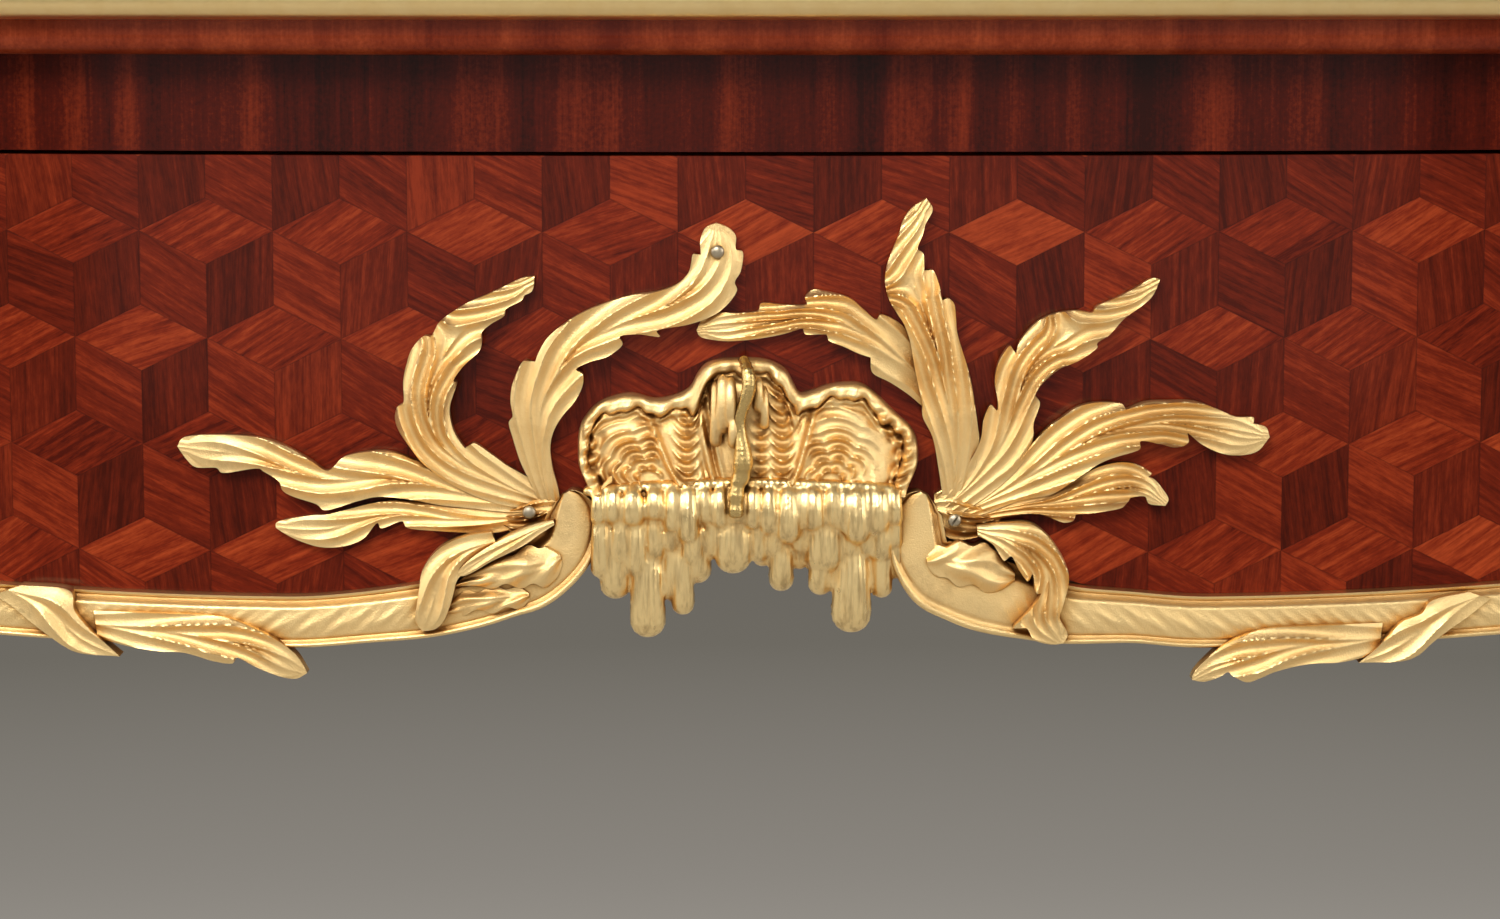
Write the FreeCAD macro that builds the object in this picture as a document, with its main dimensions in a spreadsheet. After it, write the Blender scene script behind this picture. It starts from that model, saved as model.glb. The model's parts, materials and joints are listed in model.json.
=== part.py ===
import FreeCAD, Part

# A cylinder desk: a serpentine bed on four cabriole legs, with three drawers in its front, and on it
# a low case that a quarter cylinder closes. The cylinder turns on two pivots, a writing slide draws out
# below it, and three small drawers stand inside. Millimetres, +Z up, the front towards -Y, and the
# origin on the floor under the middle of the bed.

import math
import os

import Sketcher

V = FreeCAD.Vector
doc = FreeCAD.newDocument("cylinder_desk")

# Driving dimensions, each with its own cell.
SIZES = [
    ("desk_width", 1440, "over the brass edge of the bed"),
    ("desk_depth", 820, "from the front of the brass edge at the middle to its back"),
    ("bed_height", 790, "top of the bed above the floor"),
    ("bed_thick", 26, "bed board, and the height of its brass edge"),
    ("bed_overhang", 22, "brass edge out from the face of the rail"),
    ("brass_edge", 12, "width of the brass edge round the bed"),
    ("bed_corner", 26, "radius of the bed board's corners"),
    ("edge_round", 5, "rounding of the brass edges"),
    ("ovolo_drop", 9, "height of the wooden moulding under the brass edge"),
    ("ovolo_out", 14, "that moulding out from the face of the rail"),
    ("rail_drop", 25, "rail that shows under that moulding"),
    ("front_thick", 22, "rail, drawer fronts and aprons"),
    ("bow_radius", 1600, "bow of the front in plan"),
    ("bow_half", 320, "half the width of that bow"),
    ("hollow_radius", 1000, "hollow on each side of the bow"),
    ("apron_back", 2, "side and back aprons in from the leg faces"),
    ("leg_top", 80, "square top of a leg"),
    ("knee_tuck", 6, "inner faces of a leg, at its knee, out from those of its top"),
    ("leg_calf", 46, "leg below its knee"),
    ("leg_ankle", 34, "leg above its foot"),
    ("leg_foot", 50, "foot of a leg"),
    ("leg_round", 7, "rounded corners of a leg"),
    ("knee_out", 8, "knee out from the top of the leg, along both faces"),
    ("calf_in", 22, "calf in from the top of the leg, along both faces"),
    ("foot_in", 2, "foot in from the top of the leg, along both faces"),
    ("sabot_height", 86, "bronze shoe"),
    ("sabot_wall", 3, "wall of the shoe, and its sole"),
    ("chute_drop", 150, "bronze mount on the knee"),
    ("chute_wing", 46, "width of that mount on each face"),
    ("chute_wall", 5, "thickness of that mount"),
    ("mount_gap", 0.2, "bronze shell clear of the leg"),
    ("centre_half", 290, "half the opening of the centre drawer"),
    ("divider_thick", 18, "board between two drawers"),
    ("drawer_gap", 1, "gap round a drawer front"),
    ("front_proud", 2, "drawer front out from the face of the rail"),
    ("end_drop", 104, "front down at the dividers"),
    ("lobe_fall", 11, "two lobes of the centre front below that"),
    ("lobe_half", 121, "middle to a lobe"),
    ("scroll_rise", 17, "scrolls above the lobes"),
    ("scroll_half", 50, "middle to a scroll"),
    ("arch_rise", 10, "arch at the middle of the centre front above its scrolls"),
    ("knee_fall", 46, "fronts and aprons at the legs below the front at the dividers"),
    ("spring_rise", 42, "arches of a side apron spring above its ends"),
    ("spring_half", 90, "middle of the side apron to there"),
    ("pendant_fall", 10, "middle of a side apron below there"),
    ("lip_drop", 13, "height of the bronze lip under a front"),
    ("lip_out", 5, "that lip out from the face"),
    ("lip_in", 9, "that lip in behind the face"),
    ("scroll_radius", 12, "scroll at the end of the centre lips"),
    ("spray_span", 100, "measure of the leaf sprays"),
    ("spray_thick", 6, "leaf sprays"),
    ("root_radius", 10, "where the leaves of a spray grow together"),
    ("shell_half", 45, "half the width of the shell between the sprays"),
    ("shell_thick", 13, "that shell"),
    ("box_thick", 11, "sides and back of a drawer"),
    ("box_floor", 7, "bottom of a drawer"),
    ("box_height", 84, "sides of a drawer"),
    ("box_depth", 540, "drawer behind its front, at the middle"),
    ("box_drop", 8, "drawer sides below the top of its front"),
    ("box_clear", 1.5, "drawer box clear of the boards beside it"),
    ("runner_width", 22, "runner under a drawer side"),
    ("runner_thick", 14, "height of a runner"),
    ("runner_set", 60, "front end of a runner behind the face at the middle"),
    ("pull_half", 42, "middle of a drawer pull to its post"),
    ("pull_drop", 52, "pull below the top of its front"),
    ("pull_reach", 24, "pull out from the front"),
    ("pull_rose", 12, "radius of the rose under a post"),
    ("pull_grip", 4, "radius of the grip"),
    ("cheek_set", 60, "outer face of a cheek in from the end of the bed"),
    ("cheek_thick", 36, "cheek of the upper case"),
    ("cheek_margin", 10, "cheek's curved edge beyond the cylinder"),
    ("case_set", 14, "back of the upper case in from the back of the bed board"),
    ("back_thick", 16, "back of the upper case"),
    ("cylinder_radius", 285, "outside of the cylinder"),
    ("cylinder_thick", 20, "wall of the cylinder"),
    ("cylinder_span", 98, "degrees that the cylinder covers"),
    ("cylinder_lift", 3, "edge of the closed cylinder above the slide"),
    ("cylinder_clear", 6, "cylinder clear of the back"),
    ("side_clear", 2, "cylinder clear of a cheek"),
    ("top_clear", 4, "cylinder clear of the top board"),
    ("top_thick", 22, "top board"),
    ("top_over", 10, "top board beyond the cheeks"),
    ("top_edge", 9, "brass edge round the top board"),
    ("trim_thick", 4, "brass trim on a cheek's curve"),
    ("gallery_height", 46, "brass gallery"),
    ("gallery_bar", 7, "height of the gallery's bars"),
    ("gallery_thick", 6, "thickness of the gallery's bars"),
    ("gallery_set", 12, "gallery in from the edge of the top board"),
    ("gallery_pitch", 26, "spacing of its balusters"),
    ("arm_thick", 14, "iron arm of the cylinder"),
    ("arm_width", 26, "spoke of an arm"),
    ("hub_radius", 24, "hub of an arm"),
    ("pivot_radius", 6, "pivot of the cylinder"),
    ("pivot_clear", 0.05, "pivot clear of its bush"),
    ("bush_radius", 11, "outside of a bush"),
    ("bush_length", 20, "bush in its cheek"),
    ("rail_angle", 3.2, "degrees of the brass rail at the cylinder's edge"),
    ("rail_proud", 4, "that rail out from the cylinder"),
    ("handle_half", 330, "middle to a cylinder handle"),
    ("handle_angle", 8, "degrees of a handle above the cylinder's edge"),
    ("handle_reach", 28, "handle out from the cylinder"),
    ("handle_radius", 11, "handle"),
    ("plate_half_width", 24, "half the width of the escutcheon"),
    ("plate_half_height", 31, "half the height of the escutcheon"),
    ("plate_angle", 9.5, "degrees of the escutcheon above the cylinder's edge"),
    ("plate_thick", 3, "escutcheon"),
    ("slide_thick", 24, "writing slide"),
    ("slide_clear", 0.3, "slide above the bed and beside its guides"),
    ("slide_depth", 470, "slide from its front edge to its back"),
    ("slide_nose", 6, "front of the slide beyond the cylinder"),
    ("lipping", 18, "front lipping of the slide"),
    ("leather_margin", 60, "border round the leather"),
    ("leather_thick", 1.6, "leather let into the slide"),
    ("guide_thin", 6, "guide beside the cylinder's hub"),
    ("arm_clear", 3.7, "that guide clear of the cylinder's arm"),
    ("slide_knob_half", 300, "middle to a knob of the slide"),
    ("slide_knob_radius", 9, "knob of the slide"),
    ("slide_knob_reach", 22, "knob out from the slide"),
    ("fit_clear", 20, "inner fitment clear of the cylinder's arms"),
    ("fit_height", 158, "fitment above its plinth"),
    ("fit_depth", 230, "fitment from front to back"),
    ("fit_back", 100, "fitment's back in front of the back panel"),
    ("fit_board", 9, "boards of the fitment"),
    ("fit_drawer_height", 64, "opening of a small drawer"),
    ("small_front", 12, "front of a small drawer"),
    ("small_side", 6, "sides, back and bottom of a small drawer"),
    ("small_gap", 0.8, "small drawer clear of its opening"),
    ("small_knob_radius", 7, "knob of a small drawer"),
    ("small_knob_reach", 16, "knob out from a small drawer"),
]

sheet = doc.addObject("Spreadsheet::Sheet", "Sizes")
for row, (alias, number, words) in enumerate(SIZES, start=1):
    sheet.set(f"A{row}", alias)
    sheet.set(f"B{row}", str(number))
    sheet.setAlias(f"B{row}", alias)
    sheet.set(f"C{row}", words)
doc.recompute()

SIDES = (("left", -1), ("right", 1))
PARTS = {}


def value(expression):
    """The number that an expression on the sheet has now."""
    return float(sheet.evalExpression(expression))


def size(alias):
    return value(f"Sizes.{alias}")


def keep(label, thing):
    """Names a finished sub-part."""
    thing.Label = label
    PARTS[label] = thing
    return thing


def solid(name, shape):
    """A document object for a shape that is worked out with Part's own functions."""
    thing = doc.addObject("Part::Feature", name)
    thing.Shape = shape
    return thing


def box(name, x, y, z):
    """A box between two expressions on each axis."""
    thing = doc.addObject("Part::Box", name)
    for axis, length, (low, high) in (("x", "Length", x), ("y", "Width", y), ("z", "Height", z)):
        thing.setExpression(length, f"({high}) - ({low})")
        thing.setExpression(f"Placement.Base.{axis}", low)
    return thing


def rod(name, radius, length, base, axis):
    """A cylinder along a direction, from an expression for each coordinate of its base."""
    thing = doc.addObject("Part::Cylinder", name)
    thing.setExpression("Radius", radius)
    thing.setExpression("Height", length)
    thing.Placement.Rotation = FreeCAD.Rotation(V(0, 0, 1), axis)
    for letter, place in zip("xyz", base):
        thing.setExpression(f"Placement.Base.{letter}", place)
    return thing


def cut(name, base, tool):
    thing = doc.addObject("Part::Cut", name)
    thing.Base = base
    thing.Tool = tool
    return thing


def common(name, base, tool):
    thing = doc.addObject("Part::Common", name)
    thing.Base = base
    thing.Tool = tool
    return thing


def fuse(name, things):
    thing = doc.addObject("Part::MultiFuse", name)
    thing.Shapes = things
    return thing


def group(name, things):
    """Separate solids that share one node."""
    thing = doc.addObject("Part::Compound", name)
    thing.Links = things
    return thing


def profile(name, plane, corners, length, shift=None):
    """A body padded evenly to both sides of an origin plane. A corner is (u, v) or (u, v, radius, turn):
    the edge to the next corner is then an arc, with its centre to the left for a turn of 1."""
    body = doc.addObject("PartDesign::Body", name)
    sketch = body.newObject("Sketcher::SketchObject", f"{name}_sketch")
    support = [f for f in body.Origin.OriginFeatures if f.Role == plane][0]
    sketch.AttachmentSupport = [(support, "")]
    sketch.MapMode = "FlatFace"
    points = [V(value(corner[0]), value(corner[1]), 0) for corner in corners]
    ends = []
    for index, corner in enumerate(corners):
        start = points[index]
        end = points[(index + 1) % len(points)]
        if len(corner) == 2:
            sketch.addGeometry(Part.LineSegment(start, end))
            ends.append((1, 2))
        else:
            chord = end - start
            radius = value(corner[2])
            rise = radius - math.sqrt(radius**2 - (chord.Length / 2) ** 2)
            outward = V(chord.y, -chord.x, 0) / chord.Length * corner[3]
            sketch.addGeometry(Part.Arc(start, start + chord / 2 + outward * rise, end))
            ends.append((1, 2) if corner[3] > 0 else (2, 1))
    for index, corner in enumerate(corners):
        after = (index + 1) % len(corners)
        sketch.addConstraint(Sketcher.Constraint("Coincident", index, ends[index][1], after, ends[after][0]))
        where = (points[index].x, points[index].y)
        for kind, place, start in zip(("DistanceX", "DistanceY"), corner, where):
            number = sketch.addConstraint(Sketcher.Constraint(kind, -1, 1, index, ends[index][0], start))
            sketch.setExpression(f"Constraints[{number}]", place)
        if len(corner) > 2:
            number = sketch.addConstraint(Sketcher.Constraint("Radius", index, value(corner[2])))
            sketch.setExpression(f"Constraints[{number}]", corner[2])
    pad = body.newObject("PartDesign::Pad", f"{name}_pad")
    pad.Profile = sketch
    pad.Midplane = True
    pad.setExpression("Length", length)
    for letter, place in (shift or {}).items():
        body.setExpression(f"Placement.Base.{letter}", place)
    return body


# Heights and depths that several pieces share, as expressions on the sheet. A drop counts from the top of
# the drawer fronts.
LOBE_DROP = "(Sizes.end_drop + Sizes.lobe_fall)"
SCROLL_DROP = f"({LOBE_DROP} - Sizes.scroll_rise)"
ARCH_DROP = f"({SCROLL_DROP} - Sizes.arch_rise)"
KNEE_DROP = "(Sizes.end_drop + Sizes.knee_fall)"
SPRING_DROP = f"({KNEE_DROP} - Sizes.spring_rise)"
BED_TOP = "Sizes.bed_height"
BED_UNDER = "(Sizes.bed_height - Sizes.bed_thick)"
OVOLO_UNDER = f"({BED_UNDER} - Sizes.ovolo_drop)"
RAIL_UNDER = f"({OVOLO_UNDER} - Sizes.rail_drop)"
FRONT_TOP = f"({RAIL_UNDER} - Sizes.drawer_gap)"
LEG_OUT = "(Sizes.desk_width / 2 - Sizes.bed_overhang)"
LEG_IN = f"({LEG_OUT} - Sizes.leg_top)"
FACE_Y = "(Sizes.bed_overhang - Sizes.desk_depth / 2)"
BACK_Y = "(Sizes.desk_depth / 2 - Sizes.bed_overhang)"
APRON_BACK_Y = f"({BACK_Y} - Sizes.apron_back)"
APRON_OUT = f"({LEG_OUT} - Sizes.apron_back)"
BOARD_OUT = "(Sizes.bed_overhang - Sizes.brass_edge)"
HOLLOW_X = "((Sizes.bow_radius + Sizes.hollow_radius) * Sizes.bow_half / Sizes.bow_radius)"
BOW_COSINE = "sqrt(1 - (Sizes.bow_half / Sizes.bow_radius)^2)"
HOLLOW_Y = f"({FACE_Y} + Sizes.bow_radius - (Sizes.bow_radius + Sizes.hollow_radius) * {BOW_COSINE})"
LEG_REACH = f"min(max({HOLLOW_X}; {LEG_IN}); {LEG_OUT})"
LEG_Y = f"({HOLLOW_Y} + sqrt(Sizes.hollow_radius^2 - ({LEG_REACH} - {HOLLOW_X})^2))"
BOX_TOP = f"({FRONT_TOP} - Sizes.box_drop)"
BOX_UNDER = f"({BOX_TOP} - Sizes.box_height)"
LIP_OUT = "(Sizes.front_proud + Sizes.lip_out)"
SCROLL_X = "(Sizes.scroll_half + Sizes.scroll_radius / 2)"
SCROLL_Z = f"({FRONT_TOP} - {SCROLL_DROP} - Sizes.lip_drop + Sizes.scroll_radius)"
ARCH_Z = f"({FRONT_TOP} - {ARCH_DROP})"


def radius_of(run, rise):
    """Radius of an arc that starts level and climbs by rise over run."""
    return f"(((({run})^2) + (({rise})^2)) / (2 * ({rise})))"


# The serpentine front in plan: a bow between two hollows. Everything on the front is an offset of it.
BOW_ANGLE = math.asin(size("bow_half") / size("bow_radius"))
BOW_CENTRE = V(0, value(FACE_Y) + size("bow_radius"), 0)
HOLLOW_CENTRE = V(value(HOLLOW_X), value(HOLLOW_Y), 0)


def front_y(x, out=0.0):
    """The front's y at x, out millimetres in front of the face of the rail."""
    across = abs(x)
    bow = size("bow_radius") + out
    if across <= bow * math.sin(BOW_ANGLE):
        return BOW_CENTRE.y - math.sqrt(bow**2 - across**2)
    hollow = size("hollow_radius") - out
    return HOLLOW_CENTRE.y + math.sqrt(hollow**2 - (across - HOLLOW_CENTRE.x) ** 2)


def front_edges(out, half):
    """Three arcs from left to right along the front, out to x = half on each side."""
    turn = (size("bow_radius") + out) * math.sin(BOW_ANGLE)
    stops = [-half, -turn, turn, half]
    edges = []
    for low, high in zip(stops, stops[1:]):
        through = [V(x, front_y(x, out), 0) for x in (low, (low + high) / 2, high)]
        edges.append(Part.Arc(*through).toShape())
    return edges


def closed(edges):
    """A face from edges in order, closed by a straight edge where they end."""
    wire = Part.Wire(Part.__sortEdges__(edges))
    if not wire.isClosed():
        last = wire.OrderedVertexes[-1].Point
        first = wire.OrderedVertexes[0].Point
        wire = Part.Wire(Part.__sortEdges__(edges + [Part.makeLine(last, first)]))
    return Part.Face(wire)


def band(inner, outer, low, high, half):
    """The strip between two offsets of the front, over a height."""
    near = front_edges(inner, half)
    far = front_edges(outer, half)
    left = Part.makeLine(V(-half, front_y(half, inner), 0), V(-half, front_y(half, outer), 0))
    right = Part.makeLine(V(half, front_y(half, inner), 0), V(half, front_y(half, outer), 0))
    face = closed(near + [right] + far + [left])
    return face.extrude(V(0, 0, high - low)).translated(V(0, 0, low))


def front_strip(name, inner, outer, reach=None):
    """The same strip as a document object, as tall as the whole base, between two expressions."""
    half = reach if reach is not None else value(LEG_IN)
    return solid(name, band(value(inner), value(outer), 0, value(BED_UNDER), half))


def bed_block(out, low, high):
    """The outline of the bed, out from the leg faces, with its four corners rounded."""
    half = value(LEG_OUT) + out
    back = value(BACK_Y) + out
    corner = V(half, front_y(half, out), 0)
    rear = [corner, V(half, back, 0), V(-half, back, 0), V(-half, corner.y, 0)]
    lines = [Part.makeLine(a, b) for a, b in zip(rear, rear[1:])]
    block = closed(front_edges(out, half) + lines).extrude(V(0, 0, high - low)).translated(V(0, 0, low))
    upright = [e for e in block.Edges if e.BoundBox.ZLength > 0.5 * (high - low)]
    corners = [e for e in upright if abs(e.BoundBox.XMin) > half - 0.01]
    return block.makeFillet(size("bed_corner") + out - value(BOARD_OUT), corners)


def rounded(block, heights, radius):
    """The block with its level edges rounded at the heights given."""
    level = [e for e in block.Edges if e.BoundBox.ZLength < 0.001]
    chosen = [e for e in level if min(abs(e.BoundBox.ZMin - z) for z in heights) < 0.001]
    return block.makeFillet(radius, chosen)


# The bed: its board, the brass edge round it and the wooden moulding under that.
def make_bed():
    low = value(BED_UNDER)
    high = value(BED_TOP)
    board_out = value(BOARD_OUT)
    board = bed_block(board_out, low, high)
    keep("bed_board", solid("bed_board", board))
    brass = rounded(bed_block(size("bed_overhang"), low, high), (low, high), size("edge_round"))
    keep("bed_edge_moulding", solid("bed_edge_moulding", brass.cut(board)))
    under = value(OVOLO_UNDER)
    ovolo = rounded(bed_block(size("ovolo_out"), under, low), (under,), size("edge_round"))
    legs = [PARTS[label].Shape for label in PARTS if label.startswith("leg_")]
    keep("bed_ovolo", solid("bed_ovolo", ovolo.cut([bed_block(0.0, under, low), *legs])))


# Legs: rounded squares of changing size, carried out and in along the diagonal of the corner.
def leg_levels():
    """(height, width, outer corner out along both faces) down the leg, to the top of the shoe's sole."""
    top = value(BED_UNDER)
    knee = value(f"{FRONT_TOP} - {KNEE_DROP}")
    sole = size("sabot_wall")
    shoe = size("sabot_height")
    calf = (knee + shoe) / 2
    wide = size("leg_top") + size("knee_out") - size("knee_tuck")
    return [
        (top, size("leg_top"), 0.0),
        ((top + knee) / 2, size("leg_top"), 0.0),
        (knee, wide, size("knee_out")),
        ((knee * 2 + calf) / 3, (wide + size("leg_calf")) / 2, 0.0),
        (calf, size("leg_calf"), -size("calf_in")),
        ((calf + shoe) / 2, size("leg_ankle"), -size("calf_in") - 0.35 * size("knee_out")),
        (shoe, size("leg_ankle"), -size("calf_in") + 0.5 * size("knee_out")),
        ((shoe + sole) / 2, (size("leg_ankle") + size("leg_foot")) / 2, -0.5 * size("calf_in")),
        (sole, size("leg_foot"), -size("foot_in")),
    ]


def rounded_square(width, corner, height, radius):
    """A square with round corners, whose outer corner stands at the point given."""
    low = V(corner.x - width, corner.y, height)
    flat = Part.makePlane(width, width, low)
    return flat.makeOffset2D(-radius).makeOffset2D(radius).OuterWire


def leg_shape(grow):
    """The right front leg, or a leg grown by some millimetres all round, down to the floor."""
    x = value(LEG_OUT)
    y = value(LEG_Y)
    levels = leg_levels()
    if grow > size("mount_gap"):
        levels = levels[:-1] + [(0.0, levels[-1][1], levels[-1][2])]
    wires = []
    for height, width, out in levels:
        corner = V(x + out + grow, y - out - grow, 0)
        wires.append(rounded_square(width + 2 * grow, corner, height, size("leg_round") + grow))
    return Part.makeLoft(wires, True, False)


def at_corner(shape, side, rear):
    """The right front shape brought to one of the four corners."""
    placed = shape
    if rear:
        placed = placed.mirror(V(0, value(f"({LEG_Y} + {BACK_Y}) / 2"), 0), V(0, 1, 0))
    if side < 0:
        placed = placed.mirror(V(0, 0, 0), V(1, 0, 0))
    return placed


def make_legs():
    leg = leg_shape(0.0)
    clear = leg_shape(size("mount_gap"))
    far = size("desk_width")
    shoe_room = Part.makeBox(far, far, size("sabot_height"), V(0, -far, 0))
    sabot = leg_shape(size("sabot_wall")).common(shoe_room).cut(clear)
    wing = size("chute_wing")
    knee = value(f"{FRONT_TOP} - {KNEE_DROP}")
    reach = value(LEG_OUT) + size("knee_out") + size("chute_wall")
    front = value(LEG_Y) - size("knee_out") - size("chute_wall")
    corner = V(reach - wing, front, knee - size("chute_drop") * 0.3)
    room = Part.makeBox(wing, wing, size("chute_drop"), corner)
    chute = leg_shape(size("chute_wall")).common(room).cut(clear)
    corners = [(f"{end}_{name}", side, end == "back") for end in ("front", "back") for name, side in SIDES]
    for label, side, rear in corners:
        keep(f"leg_{label}", solid(f"leg_{label}", at_corner(leg, side, rear)))
    sabots = [solid(f"sabot_{label}", at_corner(sabot, side, rear)) for label, side, rear in corners]
    keep("sabots", group("sabots", sabots))
    chutes = [solid(f"chute_{label}", at_corner(chute, side, rear)) for label, side, rear in corners]
    keep("knee_mounts", group("knee_mounts", chutes))


# Shaped boards: a lower edge is a list of (across, drop) or (across, drop, radius, turn) from left to right.
def board_corners(edge):
    """A board from the underside of the bed down to its lower edge."""
    lower = [(c[0], f"{FRONT_TOP} - ({c[1]})", *c[2:]) for c in edge]
    return [(edge[0][0], BED_UNDER), *lower, (edge[-1][0], BED_UNDER)]


def front_corners(edge):
    """A drawer front, from its top down to its lower edge."""
    lower = [(c[0], f"{FRONT_TOP} - ({c[1]})", *c[2:]) for c in edge]
    return [(edge[0][0], FRONT_TOP), *lower, (edge[-1][0], FRONT_TOP)]


def lip_corners(edge):
    """The bronze lip that hangs under a lower edge."""
    lower = [(c[0], f"{FRONT_TOP} - ({c[1]}) - Sizes.lip_drop", *c[2:]) for c in edge]
    upper = []
    for before, corner in zip(reversed([None, *edge[:-1]]), reversed(edge)):
        arc = (before[2], -before[3]) if before is not None and len(before) > 2 else ()
        upper.append((corner[0], f"{FRONT_TOP} - ({corner[1]})", *arc))
    return lower + upper


def centre_edge(reach):
    """Lower edge of the centre front, or of the back apron's middle: two lobes and an arch."""
    outer = radius_of(f"{reach} - Sizes.lobe_half", "Sizes.lobe_fall")
    inner = radius_of("Sizes.lobe_half - Sizes.scroll_half", "Sizes.scroll_rise")
    arch = radius_of("Sizes.scroll_half", "Sizes.arch_rise")
    return [
        (f"-({reach})", "Sizes.end_drop", outer, 1),
        ("-Sizes.lobe_half", LOBE_DROP, inner, 1),
        ("-Sizes.scroll_half", SCROLL_DROP, arch, -1),
        ("Sizes.scroll_half", SCROLL_DROP, inner, 1),
        ("Sizes.lobe_half", LOBE_DROP, outer, 1),
        (f"{reach}", "Sizes.end_drop"),
    ]


def falling_edge(near, far, side):
    """Lower edge that falls from the divider to the leg, as it runs from left to right."""
    sweep = radius_of(f"({far}) - ({near})", "Sizes.knee_fall")
    if side > 0:
        return [(near, "Sizes.end_drop", sweep, -1), (far, KNEE_DROP)]
    return [(f"-({far})", KNEE_DROP, sweep, -1), (f"-({near})", "Sizes.end_drop")]


def side_edge():
    """Lower edge of a side apron: an arch from each leg, and a hanging lobe between them."""
    arch = radius_of(f"{SIDE_HALF} - Sizes.spring_half", "Sizes.spring_rise")
    lobe = radius_of("Sizes.spring_half", "Sizes.pendant_fall")
    return [
        (f"-{SIDE_HALF}", KNEE_DROP, arch, -1),
        ("-Sizes.spring_half", SPRING_DROP, lobe, 1),
        ("Sizes.spring_half", SPRING_DROP, arch, -1),
        (SIDE_HALF, KNEE_DROP),
    ]


SIDE_HALF = f"(({BACK_Y} - {LEG_Y}) / 2 - Sizes.leg_top)"
SIDE_MIDDLE = f"(({BACK_Y} + {LEG_Y}) / 2)"
FRONT_HALF = "(Sizes.centre_half - Sizes.drawer_gap)"
SIDE_NEAR = "(Sizes.centre_half + Sizes.divider_thick + Sizes.drawer_gap)"
SIDE_FAR = f"({LEG_IN} - Sizes.drawer_gap)"
LIP_WIDTH = "(Sizes.lip_out + Sizes.lip_in)"
APRON_INNER_Y = f"({APRON_BACK_Y} - Sizes.front_thick)"


# The frame between the legs: aprons, rail, the boards between the drawers and the runners.
def make_frame():
    for name, side in SIDES:
        middle = f"{side} * ({APRON_OUT} - Sizes.front_thick / 2)"
        board = profile(f"side_apron_{name}", "YZ_Plane", board_corners(side_edge()), "Sizes.front_thick",
                        {"x": middle, "y": SIDE_MIDDLE})
        keep(f"side_apron_{name}", board)
        middle = f"{side} * ({APRON_OUT} + (Sizes.lip_out - Sizes.lip_in) / 2)"
        lip = profile(f"side_lip_{name}", "YZ_Plane", lip_corners(side_edge()), LIP_WIDTH,
                      {"x": middle, "y": SIDE_MIDDLE})
        keep(f"side_lip_{name}", lip)
    edge = falling_edge("Sizes.centre_half", LEG_IN, -1)[:1]
    edge += centre_edge("Sizes.centre_half")[:-1]
    edge += falling_edge("Sizes.centre_half", LEG_IN, 1)
    middle = {"y": f"{APRON_BACK_Y} - Sizes.front_thick / 2"}
    board = profile("back_apron", "XZ_Plane", board_corners(edge), "Sizes.front_thick", middle)
    keep("back_apron", board)
    middle = {"y": f"{APRON_BACK_Y} + (Sizes.lip_out - Sizes.lip_in) / 2"}
    keep("back_lip", profile("back_lip", "XZ_Plane", lip_corners(edge), LIP_WIDTH, middle))
    rail = band(-size("front_thick"), 0.0, value(RAIL_UNDER), value(BED_UNDER), value(LEG_IN))
    rail = keep("front_rail", solid("front_rail", rail))
    ahead = front_strip("room_ahead_of_rail", "0", "Sizes.desk_depth / 4")
    boards = []
    for name, side in SIDES:
        near = f"{side} * Sizes.centre_half"
        far = f"{side} * (Sizes.centre_half + Sizes.divider_thick)"
        x = (near, far) if side > 0 else (far, near)
        z = (f"{FRONT_TOP} - Sizes.end_drop - Sizes.lip_drop", BED_UNDER)
        plain = box(f"divider_{name}_blank", x, (FACE_Y, APRON_INNER_Y), z)
        shaped = cut(f"divider_{name}_faced", plain, ahead)
        boards.append(cut(f"divider_{name}", shaped, rail))
    keep("drawer_dividers", group("drawer_dividers", boards))
    z = (f"{BOX_UNDER} - Sizes.runner_thick", BOX_UNDER)
    runners = []
    for name, side in SIDES:
        inner = "Sizes.centre_half"
        beyond = f"({inner} + Sizes.divider_thick)"
        y = (f"{FACE_Y} + Sizes.runner_set", APRON_INNER_Y)
        spans = [("centre", f"{inner} - Sizes.runner_width", inner, y),
                 ("inner", beyond, f"{beyond} + Sizes.runner_width", y),
                 ("outer", f"{LEG_IN} - Sizes.runner_width", f"{APRON_OUT} - Sizes.front_thick",
                  (f"{LEG_Y} + Sizes.leg_top", f"{BACK_Y} - Sizes.leg_top"))]
        for place, low, high, along in spans:
            x = (low, high) if side > 0 else (f"-({high})", f"-({low})")
            runners.append(box(f"runner_{place}_{name}", x, along, z))
    keep("drawer_runners", group("drawer_runners", runners))


# Drawers of the front: a shaped front on the serpentine, and a box behind it.
def make_box(name, low, high, behind):
    """Two sides, a back and a bottom, trimmed to the curved back of the front."""
    y = (FACE_Y, f"{FACE_Y} + Sizes.front_thick + Sizes.box_depth")
    z = (BOX_UNDER, BOX_TOP)
    inner = (f"({low}) + Sizes.box_thick", f"({high}) - Sizes.box_thick")
    floor = (BOX_UNDER, f"{BOX_UNDER} + Sizes.box_floor")
    boards = [
        box(f"{name}_side_a_blank", (low, inner[0]), y, z),
        box(f"{name}_side_b_blank", (inner[1], high), y, z),
        box(f"{name}_bottom_blank", inner, y, floor),
    ]
    pieces = [cut(f"{name}_board_{index}", board, behind) for index, board in enumerate(boards)]
    back = (f"{y[1]} - Sizes.box_thick", y[1])
    pieces.append(box(f"{name}_back", inner, back, (floor[1], BOX_TOP)))
    keep(f"{name}_box", group(f"{name}_box", pieces))


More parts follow.
